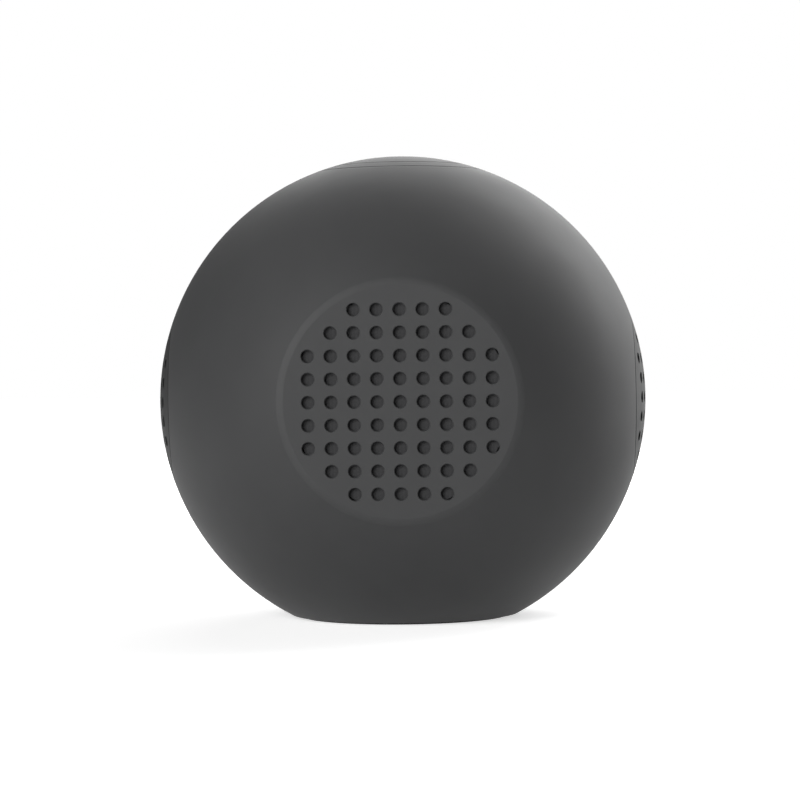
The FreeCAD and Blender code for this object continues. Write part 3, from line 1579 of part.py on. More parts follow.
for number, spot in enumerate(screw_spots):
    screw_holes.append(
        join(
            f"base_screw_hole_{number}",
            [
                rod(
                    f"screw_way_{number}",
                    screw_hole_radius,
                    "z",
                    base_floor - overrun,
                    base_plate_top + overrun,
                    spot,
                ),
                rod(
                    f"head_way_{number}",
                    screw_head_radius + hairline,
                    "z",
                    base_floor - overrun,
                    screw_head_low + screw_head_height,
                    spot,
                ),
            ],
        )
    )
node(
    cut(
        "base_plate",
        join("base_blank", [base_disc, tripod_boss]),
        insert_hole,
        foot_groove,
        charge_hole,
        card_hole,
        reset_hole,
        power_hole,
        gather("screw_holes", screw_holes),
    ),
    "base_plate",
)
base_screws = [
    screw(f"base_screw_{number}", "z", screw_head_low, screw_length, spot)
    for number, spot in enumerate(screw_spots)
]
node(gather("base_screws", base_screws), "base_screws")

# Brass insert: threaded for a tripod screw, moulded into the base plate's boss
node(
    ring("tripod_insert", tripod_insert_radius, tripod_thread_radius, "z", insert_low, insert_top),
    "tripod_insert",
)

# Rubber foot: a flat ring in its groove, the only thing that touches the table
node(
    ring("base_foot", foot_radius, foot_bore, "z", 0, base_floor + foot_sunk), "base_foot"
)

# Charge socket: drawn metal shell with a tongue, soldered upright to the port board
socket_mouth = base_floor + socket_sunk
socket_outside = slot_shape(
    "socket_outside", socket_width, socket_height, socket_offset, socket_mouth, port_board_low
)
socket_inside = slot_shape(
    "socket_inside",
    socket_width - socket_wall * 2,
    socket_height - socket_wall * 2,
    socket_offset,
    socket_mouth - overrun,
    port_board_low - socket_wall * 4,
)
tongue = block(
    "tongue",
    about(0, tongue_width),
    about(socket_offset, tongue_thickness),
    (socket_mouth + socket_wall * 2, port_board_low - socket_wall),
)
node(
    join("charge_socket", [cut("socket_shell", socket_outside, socket_inside), tongue]),
    "charge_socket",
)

# Reset button: a pin with a collar above the base plate, and its switch under the port board
reset_top = port_board_low - reset_switch_height - stop_clearance
reset_low = base_floor + reset_sunk
collar_floor = base_plate_top + stop_clearance
reset_pin = rod("reset_pin", reset_radius, "z", reset_low, reset_top, reset_spot)
reset_collar = rod(
    "reset_collar",
    reset_collar_radius,
    "z",
    collar_floor,
    collar_floor + reset_collar_height,
    reset_spot,
)
reset_tip = rod(
    "reset_tip", reset_tip_radius, "z", reset_top - bite, reset_top + reset_tip_length, reset_spot
)
node(join("reset_button", [reset_pin, reset_collar, reset_tip]), "reset_button")
reset_switch_low = port_board_low - reset_switch_height
reset_switch_block = block(
    "reset_switch_block",
    about(small_part_offset, reset_switch_width),
    about(0, reset_switch_width),
    (reset_switch_low, port_board_low),
)
reset_switch_well = rod(
    "reset_switch_well",
    reset_radius + reset_clearance,
    "z",
    reset_switch_low - overrun,
    reset_top + reset_tip_length + reset_travel + stop_clearance,
    reset_spot,
)
node(cut("reset_switch", reset_switch_block, reset_switch_well), "reset_switch")

# Power slider: a knob through the base plate, its flange above it and its fork in the switch
knob_rest = -power_travel / 2
knob_low = base_floor + power_knob_sunk
power_switch_low = port_board_low - power_switch_height
knob_top = power_switch_low + power_fork_depth
knob = block(
    "knob",
    about(power_middle, power_knob_width),
    about(knob_rest, power_knob_width),
    (knob_low, knob_top),
)
knob_flange = block(
    "knob_flange",
    about(power_middle, power_flange_width),
    about(knob_rest, power_flange_length),
    (collar_floor, collar_floor + power_flange_height),
)
node(join("power_slider", [knob, knob_flange]), "power_slider")
power_switch_block = block(
    "power_switch_block",
    about(power_middle, power_switch_width),
    about(0, power_switch_length),
    (power_switch_low, port_board_low),
)
power_switch_slot = block(
    "power_switch_slot",
    about(power_middle, power_knob_width + power_clearance * 2),
    about(0, power_knob_width + power_travel + power_clearance * 2),
    (power_switch_low - overrun, knob_top + power_clearance),
)
node(cut("power_switch", power_switch_block, power_switch_slot), "power_switch")

# Everything is checked before anything is written
doc.recompute()
faults = [item.Name for item in doc.Objects if "Invalid" in item.State or "Error" in item.State]
for item in nodes:
    if item.Shape.isNull() or not item.Shape.isValid():
        faults.append(item.Label)
if faults:
    raise SystemExit("faulty: " + ", ".join(faults))
os.makedirs("parts", exist_ok=True)
for item in nodes:
    item.Shape.exportStep(f"parts/{item.Label}.step")
print(len(nodes), "pieces written")
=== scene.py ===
"""Looks of a small ball-shaped security camera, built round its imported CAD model."""

import json
import math

import bmesh
import bpy
from mathutils import Matrix, Vector


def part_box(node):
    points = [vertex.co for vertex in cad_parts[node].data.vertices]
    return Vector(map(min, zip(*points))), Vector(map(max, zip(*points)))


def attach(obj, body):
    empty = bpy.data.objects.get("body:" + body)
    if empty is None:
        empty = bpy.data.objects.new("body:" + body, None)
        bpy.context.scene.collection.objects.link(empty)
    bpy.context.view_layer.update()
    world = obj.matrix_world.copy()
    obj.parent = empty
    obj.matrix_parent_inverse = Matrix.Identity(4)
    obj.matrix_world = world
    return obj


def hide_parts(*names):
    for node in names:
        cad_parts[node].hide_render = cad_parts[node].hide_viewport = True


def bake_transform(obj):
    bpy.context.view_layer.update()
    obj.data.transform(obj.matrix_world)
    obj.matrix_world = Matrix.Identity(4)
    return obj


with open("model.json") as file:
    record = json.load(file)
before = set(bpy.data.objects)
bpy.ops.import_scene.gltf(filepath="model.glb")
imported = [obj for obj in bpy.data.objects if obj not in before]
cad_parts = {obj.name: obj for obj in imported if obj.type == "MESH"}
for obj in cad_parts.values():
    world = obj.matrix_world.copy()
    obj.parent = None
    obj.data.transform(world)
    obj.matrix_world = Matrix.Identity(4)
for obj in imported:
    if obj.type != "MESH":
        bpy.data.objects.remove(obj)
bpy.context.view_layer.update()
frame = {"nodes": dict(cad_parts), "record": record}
millimetre = 0.001
joints = {joint["name"]: joint for joint in frame["record"]["behaviour"]["joints"]}
ball_middle = Vector((0, 0, joints["cone_travel"]["deforming_nodes"][0]["fixed_end_z_m"]))


# Viewpoint: the photograph looks at the speaker side, level with the ball's middle and
# from close by, with the camera turned a little in its mount.
photo_pixels = 800
sensor = 36.0
focal = 124.0
camera_distance = 387.6 * millimetre
camera_azimuth = math.radians(180.66)
camera_elevation = math.radians(0.67)
camera_roll = math.radians(-0.66)
ball_shift_right = 2.9
ball_shift_up = 1.05

backward = Vector(
    (
        math.sin(camera_azimuth) * math.cos(camera_elevation),
        -math.cos(camera_azimuth) * math.cos(camera_elevation),
        math.sin(camera_elevation),
    )
)
pixels_per_turn = focal / sensor * photo_pixels
aim = Matrix.Rotation(math.atan(ball_shift_right / pixels_per_turn), 4, "Y") @ Matrix.Rotation(
    -math.atan(ball_shift_up / pixels_per_turn), 4, "X"
)
camera_data = bpy.data.cameras.new("photo_camera")
camera_data.lens = focal
camera_data.sensor_width = sensor
camera_data.clip_start = 10 * millimetre
camera_data.clip_end = 20.0
photo_camera = bpy.data.objects.new("photo_camera", camera_data)
bpy.context.scene.collection.objects.link(photo_camera)
photo_camera.matrix_world = (
    Matrix.Translation(ball_middle + backward * camera_distance)
    @ backward.to_track_quat("Z", "Y").to_matrix().to_4x4()
    @ aim
    @ Matrix.Rotation(camera_roll, 4, "Z")
)
bpy.context.scene.camera = photo_camera


# Studio: a pale floor under four soft boxes, with black cards behind the ball, on both sides
# and behind the camera, and a white surround that only the camera and shiny surfaces see.
scene = bpy.context.scene
scene.view_settings.view_transform = "Standard"
white = (1, 1, 1, 1)
room_strength = 0.03
studio = bpy.data.worlds.new("studio")
studio.use_nodes = True
scene.world = studio


def shader_node(tree, kind, values=None, feeds=None, **settings):
    """A node with its settings, the values on its sockets and the outputs that feed others."""
    node = tree.nodes.new("ShaderNode" + kind)
    for setting, value in settings.items():
        setattr(node, setting, value)
    for socket, value in (values or {}).items():
        node.inputs[socket].default_value = value
    for socket, source in (feeds or {}).items():
        tree.links.new(source, node.inputs[socket])
    return node


def seen_directly(tree):
    """One where the camera, or glass or gloss on its behalf, looks at the surface."""
    ray = shader_node(tree, "LightPath")
    seen = ray.outputs["Is Camera Ray"]
    for name in ("Is Glossy Ray", "Is Transmission Ray"):
        seen = shader_node(
            tree, "Math", feeds={0: seen, 1: ray.outputs[name]}, operation="MAXIMUM"
        ).outputs[0]
    return seen


tree = studio.node_tree
tree.nodes.clear()
white_surround = shader_node(tree, "Background", {"Color": white, "Strength": 1.0})
room_light = shader_node(tree, "Background", {"Color": white, "Strength": room_strength})
choose = shader_node(
    tree, "MixShader",
    feeds={"Fac": seen_directly(tree), 1: room_light.outputs[0], 2: white_surround.outputs[0]},
)
shader_node(tree, "OutputWorld", feeds={"Surface": choose.outputs[0]})

half_floor = 3.0
floor_grey = (0.8, 0.8, 0.8, 1)
dim_until, white_from = 0.12, 0.60
dim_glow, white_glow = 0.6, 1.0
floor_mesh = bpy.data.meshes.new("floor")
corners = [(x * half_floor, y * half_floor, 0) for x, y in ((-1, -1), (1, -1), (1, 1), (-1, 1))]
floor_mesh.from_pydata(corners, [], [(0, 1, 2, 3)])
floor = bpy.data.objects.new("floor", floor_mesh)
scene.collection.objects.link(floor)
floor_paint = bpy.data.materials.new("floor_paint")
floor_paint.use_nodes = True
tree = floor_paint.node_tree
tree.nodes.clear()
floor_matte = shader_node(tree, "BsdfDiffuse", {"Color": floor_grey})
floor_place = shader_node(tree, "TexCoord")
floor_reach = shader_node(
    tree, "VectorMath", feeds={0: floor_place.outputs["Object"]}, operation="LENGTH"
)
floor_fade = shader_node(
    tree, "MapRange",
    {"From Min": dim_until, "From Max": white_from, "To Min": dim_glow, "To Max": white_glow},
    {"Value": floor_reach.outputs["Value"]},
)
floor_strength = shader_node(
    tree, "Math", feeds={0: seen_directly(tree), 1: floor_fade.outputs["Result"]},
    operation="MULTIPLY",
)
floor_white = shader_node(
    tree, "Emission", {"Color": white}, {"Strength": floor_strength.outputs[0]}
)
floor_sum = shader_node(
    tree, "AddShader", feeds={0: floor_matte.outputs[0], 1: floor_white.outputs[0]}
)
shader_node(tree, "OutputMaterial", feeds={"Surface": floor_sum.outputs[0]})
floor_mesh.materials.append(floor_paint)

card_black = (0.01, 0.01, 0.01, 1)
back_card = [(0, -0.5, 0), (0.9, -0.35, 0), (0.9, -0.35, 0.75), (0.1, -0.48, 0.25)]
left_card = [(1.1, -0.25, 0), (1.1, 1.2, 0), (1.1, 1.2, 0.7), (1.1, -0.25, 0.7)]
right_card = [(-1.1, 0.3, 0), (-1.1, 1.2, 0), (-1.1, 1.2, 0.9), (-1.1, 0.3, 0.9)]
camera_card = [(-1.6, 1.2, 0), (1.6, 1.2, 0), (1.6, 1.2, 1.6), (-1.6, 1.2, 1.6)]
card_mesh = bpy.data.meshes.new("black_cards")
card_corners = back_card + left_card + right_card + camera_card
card_faces = [tuple(range(i, i + 4)) for i in range(0, len(card_corners), 4)]
card_mesh.from_pydata(card_corners, [], card_faces)
black_cards = bpy.data.objects.new("black_cards", card_mesh)
scene.collection.objects.link(black_cards)
black_cards.visible_camera = False
card_paint = bpy.data.materials.new("card_paint")
card_paint.use_nodes = True
card_paint.node_tree.nodes["Principled BSDF"].inputs["Base Color"].default_value = card_black
card_mesh.materials.append(card_paint)

lamp_distance = 0.7
lamp_side = 0.45
soft_boxes = {
    "front_left_box": ((0.457, 0.860, 0.225), 6.7),
    "right_back_high_box": ((-0.557, -0.557, 0.616), 3.35),
    "right_back_box": ((-0.811, -0.568, 0.139), 1.6),
    "top_back_box": ((0.0, -0.839, 0.545), 1.9),
}
for name, (direction, power) in soft_boxes.items():
    lamp = bpy.data.lights.new(name, "AREA")
    lamp.size = lamp_side
    lamp.energy = power
    box = bpy.data.objects.new(name, lamp)
    scene.collection.objects.link(box)
    box.location = ball_middle + Vector(direction).normalized() * lamp_distance
    box.rotation_euler = Vector(direction).to_track_quat("Z", "Y").to_euler()
    box.visible_camera = False


# Chassis: one black moulding that everything inside is hung on. Its faces have a fine
# spark-eroded texture, a little shinier where the moulding met the polished parts of the tool.
spots_low, spots_high = 0.3, 0.7
wave_factor = 20


class Finish:
    """What a piece is coated with or made of: one shader, with patterns fixed to the piece."""

    def __init__(self, name, colour, roughness, sockets=None):
        self.material = bpy.data.materials.new(name)
        self.material.use_nodes = True
        self.tree = self.material.node_tree
        self.shader = self.tree.nodes["Principled BSDF"]
        plain = {"Base Color": (*colour, 1), "Roughness": roughness, **(sockets or {})}
        for socket, value in plain.items():
            self.shader.inputs[socket].default_value = value
        self.normal = None

    def node(self, kind, values=None, feeds=None, **settings):
        """A node among this finish's own."""
        return shader_node(self.tree, kind, values, feeds, **settings)

    def drive(self, socket, source):
        """Lets an output decide one of the shader's sockets."""
        self.tree.links.new(source, self.shader.inputs[socket])

    def place(self, stretch=(1, 1, 1), turn=(0, 0, 0)):
        """Coordinates that stay on the piece, measured from the ball's middle."""
        angles = [math.radians(angle) for angle in turn]
        mapping = self.node(
            "Mapping", {"Location": ball_middle, "Rotation": angles, "Scale": stretch},
            {"Vector": self.node("TexCoord").outputs["Object"]}, vector_type="TEXTURE",
        )
        return mapping.outputs["Vector"]

    def speckle(self, size, detail=2.0, stretch=(1, 1, 1)):
        """Noise with spots of about a size, drawn out along an axis where stretched."""
        spots = {"Scale": 1 / size, "Detail": detail}
        return self.node("TexNoise", spots, {"Vector": self.place(stretch)}).outputs["Fac"]

    def turning_lines(self, pitch, waver=0.0):
        """Even rings round the lens's axis, as a cutting tool leaves them."""
        wave = self.node(
            "TexWave", {"Scale": math.tau / (wave_factor * pitch), "Distortion": waver},
            {"Vector": self.place()}, wave_type="RINGS", rings_direction="Y",
        )
        return wave.outputs["Fac"]

    def groove(self, axis, radius, reach):
        """Nothing in a groove round an axis, rising to one at a reach from it."""
        across = [0 if i == axis else 1 for i in range(3)]
        flat = self.node("VectorMath", {1: across}, {0: self.place()}, operation="MULTIPLY")
        span = self.node("VectorMath", feeds={0: flat.outputs["Vector"]}, operation="LENGTH")
        beyond = self.node("Math", {1: radius}, {0: span.outputs["Value"]}, operation="SUBTRACT")
        off = self.node("Math", feeds={0: beyond.outputs["Value"]}, operation="ABSOLUTE")
        rise = self.node(
            "MapRange", {"From Max": reach}, {"Value": off.outputs["Value"]},
            interpolation_type="SMOOTHSTEP",
        )
        return rise.outputs["Result"]

    def raised(self, pattern, depth):
        """Lets a pattern stand up from the surface by a depth, over what is there already."""
        feeds = {"Height": pattern}
        if self.normal:
            feeds["Normal"] = self.normal
        self.normal = self.node("Bump", {"Distance": depth}, feeds).outputs["Normal"]
        self.drive("Normal", self.normal)

    def grain(self, size, depth, detail=2.0, stretch=(1, 1, 1)):
        """Spots that stand up from the surface, their size and depth in millimetres."""
        self.raised(self.speckle(size * millimetre, detail, stretch), depth * millimetre)

    def gloss(self, size, low, high):
        """Spots, their size in millimetres, that move the roughness between two values."""
        span = self.node(
            "MapRange",
            {"From Min": spots_low, "From Max": spots_high, "To Min": low, "To Max": high},
            {"Value": self.speckle(size * millimetre)},
        )
        self.drive("Roughness", span.outputs["Result"])

    def tones(self, size, first, second, detail=2.0):
        """Spots, their size in millimetres, that mix two colours."""
        ramp = self.node("ValToRGB", feeds={"Fac": self.speckle(size * millimetre, detail)})
        for end, position, colour in zip(
            ramp.color_ramp.elements, (spots_low, spots_high), (first, second)
        ):
            end.position = position
            end.color = (*colour, 1)
        self.drive("Base Color", ramp.outputs["Color"])


def dress(finish, *names):
    """Gives CAD pieces their finish."""
    for name in names:
        for slot in frame["nodes"][name].material_slots:
            slot.material = finish.material


black_moulding = Finish("black_moulding", (0.022, 0.022, 0.023), 0.5)
black_moulding.grain(0.09, 0.006, 3)
black_moulding.gloss(5, 0.44, 0.58)
black_moulding.tones(9, (0.020, 0.020, 0.021), (0.026, 0.026, 0.027))
dress(black_moulding, "chassis")


# Circuit boards: glass cloth and resin under green solder mask, with the copper's lines
# showing through it and gold on the bare vias. They are screwed or pressed to the chassis.
mask_green = (0.010, 0.085, 0.040)
mask_over_copper = (0.022, 0.150, 0.070)
via_gold = (0.62, 0.42, 0.16)
trace_pitch = 0.45 * millimetre
trace_share = 0.16
trace_run = 23
trace_depth = 0.015 * millimetre
patch_size = 3.5 * millimetre
patch_from, patch_to = 0.47, 0.50
via_pitch = 2.6 * millimetre
via_share = 0.10


def board_finish(name, turn):
    """Solder mask over copper lines that run across a board lying in the turned plane."""
    finish = Finish(name, mask_green, 0.32, {"Coat Weight": 0.4, "Coat Roughness": 0.18})
    lines = finish.node(
        "TexBrick",
        {
            "Scale": 1 / trace_pitch, "Mortar Size": trace_share, "Mortar Smooth": 0.0,
            "Brick Width": trace_run, "Row Height": 1.0,
        },
        {"Vector": finish.place(turn=turn)}, offset_frequency=3,
    )
    patches = finish.node(
        "MapRange", {"From Min": patch_from, "From Max": patch_to},
        {"Value": finish.speckle(patch_size, 1)},
    )
    traces = finish.node(
        "Math", feeds={0: lines.outputs["Fac"], 1: patches.outputs["Result"]}, operation="MULTIPLY"
    )
    dots = finish.node("TexVoronoi", {"Scale": 1 / via_pitch}, {"Vector": finish.place(turn=turn)})
    vias = finish.node(
        "Math", {1: via_share}, {0: dots.outputs["Distance"]}, operation="LESS_THAN"
    )
    under = finish.node(
        "Mix", {"A": (*mask_green, 1), "B": (*mask_over_copper, 1)},
        {"Factor": traces.outputs["Value"]}, data_type="RGBA",
    )
    over = finish.node(
        "Mix", {"B": (*via_gold, 1)},
        {"Factor": vias.outputs["Value"], "A": under.outputs["Result"]}, data_type="RGBA",
    )
    finish.drive("Base Color", over.outputs["Result"])
    finish.raised(traces.outputs["Value"], trace_depth)
    return finish


dress(board_finish("upright_board", (90, 0, 0)), "main_board", "infrared_board")
dress(board_finish("level_board", (0, 0, 0)), "port_board", "button_board")
dress(board_finish("side_board", (0, 90, 0)), "microphone_board")


# Chips: processor, image sensor and the small push switches, moulded in black epoxy with a
# matte face, soldered to their boards. They carry no marking.
chip_epoxy = Finish("chip_epoxy", (0.020, 0.020, 0.022), 0.6)
chip_epoxy.grain(0.05, 0.004)
chip_epoxy.tones(2, (0.017, 0.017, 0.019), (0.026, 0.026, 0.028))
dress(chip_epoxy, "processor", "reset_switch", "top_switch")

sensor_glass = Finish(
    "sensor_glass", (0.03, 0.05, 0.06), 0.08, {"Coat Weight": 1.0, "Coat Roughness": 0.02}
)
sensor_glass.tones(0.4, (0.02, 0.045, 0.06), (0.05, 0.03, 0.06))
dress(sensor_glass, "image_sensor")


# Pressed cans and sockets: thin tinned steel, drawn and folded, with the fine lengthways
# lines of rolled sheet. The shield can, card socket, charge socket and slide switch.
tinned_sheet = Finish("tinned_sheet", (0.62, 0.62, 0.61), 0.3, {"Metallic": 1.0})
tinned_sheet.grain(0.06, 0.003, 3, (1, 1, 12))
tinned_sheet.gloss(1.5, 0.24, 0.40)
tinned_sheet.tones(4, (0.55, 0.55, 0.54), (0.67, 0.67, 0.66))
dress(tinned_sheet, "shield_can", "card_socket", "charge_socket", "power_switch", "microphone")


# Screws: zinc plated steel with turned heads and hex sockets, holding the main board, the
# speaker's clamp and the base plate.
zinc_steel = Finish("zinc_steel", (0.56, 0.57, 0.58), 0.3, {"Metallic": 1.0})
zinc_steel.grain(0.05, 0.003, 3)
zinc_steel.gloss(0.8, 0.22, 0.42)
zinc_steel.tones(1.2, (0.50, 0.51, 0.53), (0.62, 0.62, 0.60))
dress(zinc_steel, "board_screws", "clamp_screws", "base_screws")


# Battery: a lithium pouch cell in laminated foil, flat faced with rounded sides, sealed along
# the top in a terrace where the two tabs come out under yellow tape. It drops into its tray.
pouch_low, pouch_high = (Vector(corner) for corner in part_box("battery_cell"))
pouch_middle = pouch_low.lerp(pouch_high, 0.5)
pouch_half = (pouch_high - pouch_low) / 2
pouch_points, pouch_levels = 96, 40
face_roundness, side_roundness = 7.0, 3.2
end_narrowing = 0.2
end_rounding = 0.5
thinnest_end = 0.08
terrace_height = 2.4 * millimetre
terrace_half_depth = 0.35 * millimetre
weld_distance = 0.0005 * millimetre


def new_piece(name, mesh, finish, body=None, replaced=()):
    """A piece of its own, riding on a body, with its finish, hiding the CAD parts it replaces."""
    piece = bpy.data.objects.new(name, mesh)
    scene.collection.objects.link(piece)
    mesh.name = name
    mesh.materials.append(finish.material)
    if body:
        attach(piece, body)
    if replaced:
        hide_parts(*replaced)
    return piece


def closed_mesh(vertices, faces, crease=35):
    """A clean mesh: doubled points welded, faces outwards, smooth but for its sharp edges."""
    mesh = bpy.data.meshes.new("mesh")
    mesh.from_pydata([tuple(v) for v in vertices], [], faces)
    work = bmesh.new()
    work.from_mesh(mesh)
    bmesh.ops.remove_doubles(work, verts=work.verts, dist=weld_distance)
    bmesh.ops.dissolve_degenerate(work, edges=work.edges, dist=weld_distance)
    bmesh.ops.recalc_face_normals(work, faces=work.faces)
    work.to_mesh(mesh)
    work.free()
    mesh.shade_smooth()
    mesh.set_sharp_from_angle(angle=math.radians(crease))
    return mesh


def stacked_rings(rings, closed_ends=True):
    """Points and faces of a skin through rings of equal count, one above the other."""
    count = len(rings[0])
    vertices = [point for ring in rings for point in ring]
    faces = []
    for level in range(len(rings) - 1):
        here, above = level * count, (level + 1) * count
        for i in range(count):
            j = (i + 1) % count
            faces.append((here + i, here + j, above + j, above + i))
    if closed_ends:
        faces.append(tuple(reversed(range(count))))
        faces.append(tuple(range(len(vertices) - count, len(vertices))))
    return vertices, faces


def pouch_ring(height, share):
    """The pouch's outline at a height, drawn in by a share at its rounded ends."""
    ring = []
    for step in range(pouch_points):
        turn = math.tau * step / pouch_points
        c, s = math.cos(turn), math.sin(turn)
        across = math.copysign(abs(c) ** (2 / face_roundness), c) * pouch_half.x
        across = across * (1 - (1 - share) * end_narrowing)
        deep = math.copysign(abs(s) ** (2 / side_roundness), s) * pouch_half.y * share
        ring.append((pouch_middle.x + across, pouch_middle.y + deep, height))
    return ring


body_top = pouch_high[2] - terrace_height
pouch_span = body_top - pouch_low[2]
rings = []
for step in range(pouch_levels + 1):
    way = step / pouch_levels
    end = min(way, 1 - way) * pouch_span / (pouch_half.y * end_rounding)
    share = 1.0 if end >= 1 else max(thinnest_end, math.sqrt(1 - (1 - end) ** 2))
    rings.append(pouch_ring(pouch_low[2] + way * pouch_span, share))
pouch_foil = Finish("pouch_foil", (0.52, 0.53, 0.55), 0.4, {"Metallic": 0.9})
pouch_foil.grain(5, 0.10, 1)
pouch_foil.gloss(3, 0.36, 0.46)
pouch_foil.tones(6, (0.49, 0.50, 0.52), (0.55, 0.56, 0.58))
new_piece(
    "battery_pouch", closed_mesh(*stacked_rings(rings)), pouch_foil, "camera",
    ["battery_cell"],
)


def soft_block(low, high, edge, segments=3, crease=50):
    """A block with every edge rounded over."""
    work = bmesh.new()
    bmesh.ops.create_cube(work, size=1.0)
    for vertex in work.verts:
        for i in range(3):
            vertex.co[i] = low[i] if vertex.co[i] < 0 else high[i]
    bmesh.ops.bevel(
        work, geom=work.edges[:], offset=edge, segments=segments, profile=0.5, affect="EDGES"
    )
    mesh = bpy.data.meshes.new("mesh")
    work.to_mesh(mesh)
    work.free()
    mesh.shade_smooth()
    mesh.set_sharp_from_angle(angle=math.radians(crease))
    return mesh


pouch_tape = Finish("pouch_tape", (0.55, 0.33, 0.04), 0.4, {"Coat Weight": 0.5})
pouch_tape.gloss(0.8, 0.3, 0.5)
pouch_tape.tones(2, (0.50, 0.29, 0.03), (0.60, 0.38, 0.06))
seal_inset = 1.2 * millimetre
seal_overlap = 0.6 * millimetre
seal_edge = 0.15 * millimetre
seal_low = (
    pouch_low[0] + seal_inset, pouch_middle.y - terrace_half_depth, body_top - seal_overlap
)
seal_high = (pouch_high[0] - seal_inset, pouch_middle.y + terrace_half_depth, pouch_high[2])
new_piece(
    "battery_seal", soft_block(seal_low, seal_high, seal_edge), pouch_tape,
    "camera",
)


# Lens: turned and black anodised barrel, three glasses inside and a domed, coated front
# glass, screwed into a moulded holder on the main board and held by a lock ring.
black_anodised = Finish("black_anodised", (0.035, 0.035, 0.037), 0.36, {"Metallic": 1.0})
black_anodised.raised(black_anodised.turning_lines(0.18 * millimetre), 0.008 * millimetre)
black_anodised.gloss(0.5, 0.30, 0.44)
black_anodised.tones(3, (0.030, 0.030, 0.032), (0.042, 0.042, 0.044))
dress(black_anodised, "lens_barrel", "lens_lock_ring")

lens_glass = {
    "Transmission Weight": 1.0, "IOR": 1.6, "Thin Film Thickness": 112.0, "Thin Film IOR": 1.38
}
coated_glass = Finish("coated_glass", (0.93, 0.96, 1.0), 0.015, lens_glass)
coated_glass.gloss(2, 0.01, 0.03)
dress(coated_glass, "front_lens")
inner_glass = Finish("inner_glass", (0.50, 0.58, 0.72), 0.01, lens_glass)
inner_glass.gloss(2, 0.008, 0.02)
dress(inner_glass, "lens_elements")
dress(black_moulding, "lens_holder")


# Lens gasket: a thin ring of black rubber between the bezel and the barrel, moulded with
# rounded edges. It keeps light from the lamps out of the lens.
throat_radius = 5.2 * millimetre
gasket_edge = 0.1 * millimetre


def turned_piece(profile, axis, middle=ball_middle, steps=144, crease=35):
    """A closed profile of (radius, place along the axis) swept right round an axis."""
    along = "xyz".index(axis)
    others = [i for i in range(3) if i != along]
    rings = []
    for step in range(steps):
        turn = math.tau * step / steps
        ring = []
        for radius, place in profile:
            point = list(middle)
            point[along] = place
            point[others[0]] += radius * math.cos(turn)
            point[others[1]] += radius * math.sin(turn)
            ring.append(point)
        rings.append(ring)
    rings.append(rings[0])
    return closed_mesh(*stacked_rings(rings, closed_ends=False), crease=crease)


def eased(profile, radius, steps=4, side_share=0.45):
    """The profile with its corners rounded over, by no more than a share of each side."""
    points = []
    one_back, one_on = profile[-1:] + profile[:-1], profile[1:] + profile[:1]
    for before, corner, after in zip(one_back, profile, one_on):
        before, corner, after = Vector(before), Vector(corner), Vector(after)
        start = corner + (before - corner) * min(side_share, radius / (before - corner).length)
        end = corner + (after - corner) * min(side_share, radius / (after - corner).length)
        for step in range(steps + 1):
            way = step / steps
            point = start * (1 - way) ** 2 + corner * 2 * way * (1 - way) + end * way**2
            points.append(tuple(point))
    return points


def ring_profile(node, axis, bore):
    """The section of a plain ring that fills a node's box down to its bore."""
    low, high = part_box(node)
    along = "xyz".index(axis)
    other = (along + 1) % 3
    outside = (high[other] - low[other]) / 2
    return [(bore, low[along]), (outside, low[along]), (outside, high[along]), (bore, high[along])]


moulded_rubber = Finish("moulded_rubber", (0.022, 0.022, 0.023), 0.75)
moulded_rubber.grain(0.08, 0.008, 3)
moulded_rubber.gloss(1.5, 0.66, 0.84)
moulded_rubber.tones(3, (0.019, 0.019, 0.020), (0.027, 0.027, 0.028))
gasket_section = eased(ring_profile("lens_gasket", "y", throat_radius), gasket_edge)
new_piece(
    "lens_seal", turned_piece(gasket_section, "y"), moulded_rubber, "camera",
    ["lens_gasket"],
)


# Day and night filter: a moulded slide with two coated panes, pulled across behind the lens
# by a coil of enamelled copper wire wound on a small bobbin.
filter_pane = Finish(
    "filter_pane", (0.45, 0.80, 0.85), 0.02,
    {"Transmission Weight": 1.0, "IOR": 1.5, "Thin Film Thickness": 130.0, "Thin Film IOR": 1.38},
)
filter_pane.gloss(1.5, 0.01, 0.04)
dress(filter_pane, "filter_panes")
dress(black_moulding, "filter_slider")

bobbin_radius = 2.8 * millimetre
bobbin_bore = 1.3 * millimetre
bobbin_core = bobbin_bore + 0.3 * millimetre
bobbin_edge = 0.08 * millimetre
flange_width = 0.6 * millimetre
coil_low, coil_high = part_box("filter_coil")
coil_middle = Vector(coil_low).lerp(Vector(coil_high), 0.5)
coil_steps = 64
coil_start, coil_end = coil_low[0], coil_high[0]
wound_from, wound_to = coil_start + flange_width, coil_end - flange_width
bobbin_section = [
    (bobbin_bore, coil_start), (bobbin_radius, coil_start), (bobbin_radius, wound_from),
    (bobbin_core, wound_from), (bobbin_core, wound_to), (bobbin_radius, wound_to),
    (bobbin_radius, coil_end), (bobbin_bore, coil_end),
]
new_piece(
    "filter_bobbin",
    turned_piece(eased(bobbin_section, bobbin_edge, 2), "x", coil_middle, coil_steps),
    black_moulding, "camera", ["filter_coil"],
)
winding_radius = 2.15 * millimetre
wire_width = 0.16 * millimetre
bead_points = 5
bead_crease = 60


def wound_section(inside, outside, start, end, wire):
    """The section of a winding: a flat inside and one bead of wire after another outside."""
    turns = max(1, round((end - start) / wire))
    bead = (end - start) / turns
    section = [(inside, end), (inside, start)]
    for turn in range(turns):
        for step in range(bead_points):
            way = (step + 0.5) / bead_points
            swell = math.sin(math.pi * way) * bead / 2
            section.append((outside - bead / 2 + swell, start + (turn + way) * bead))
    return section


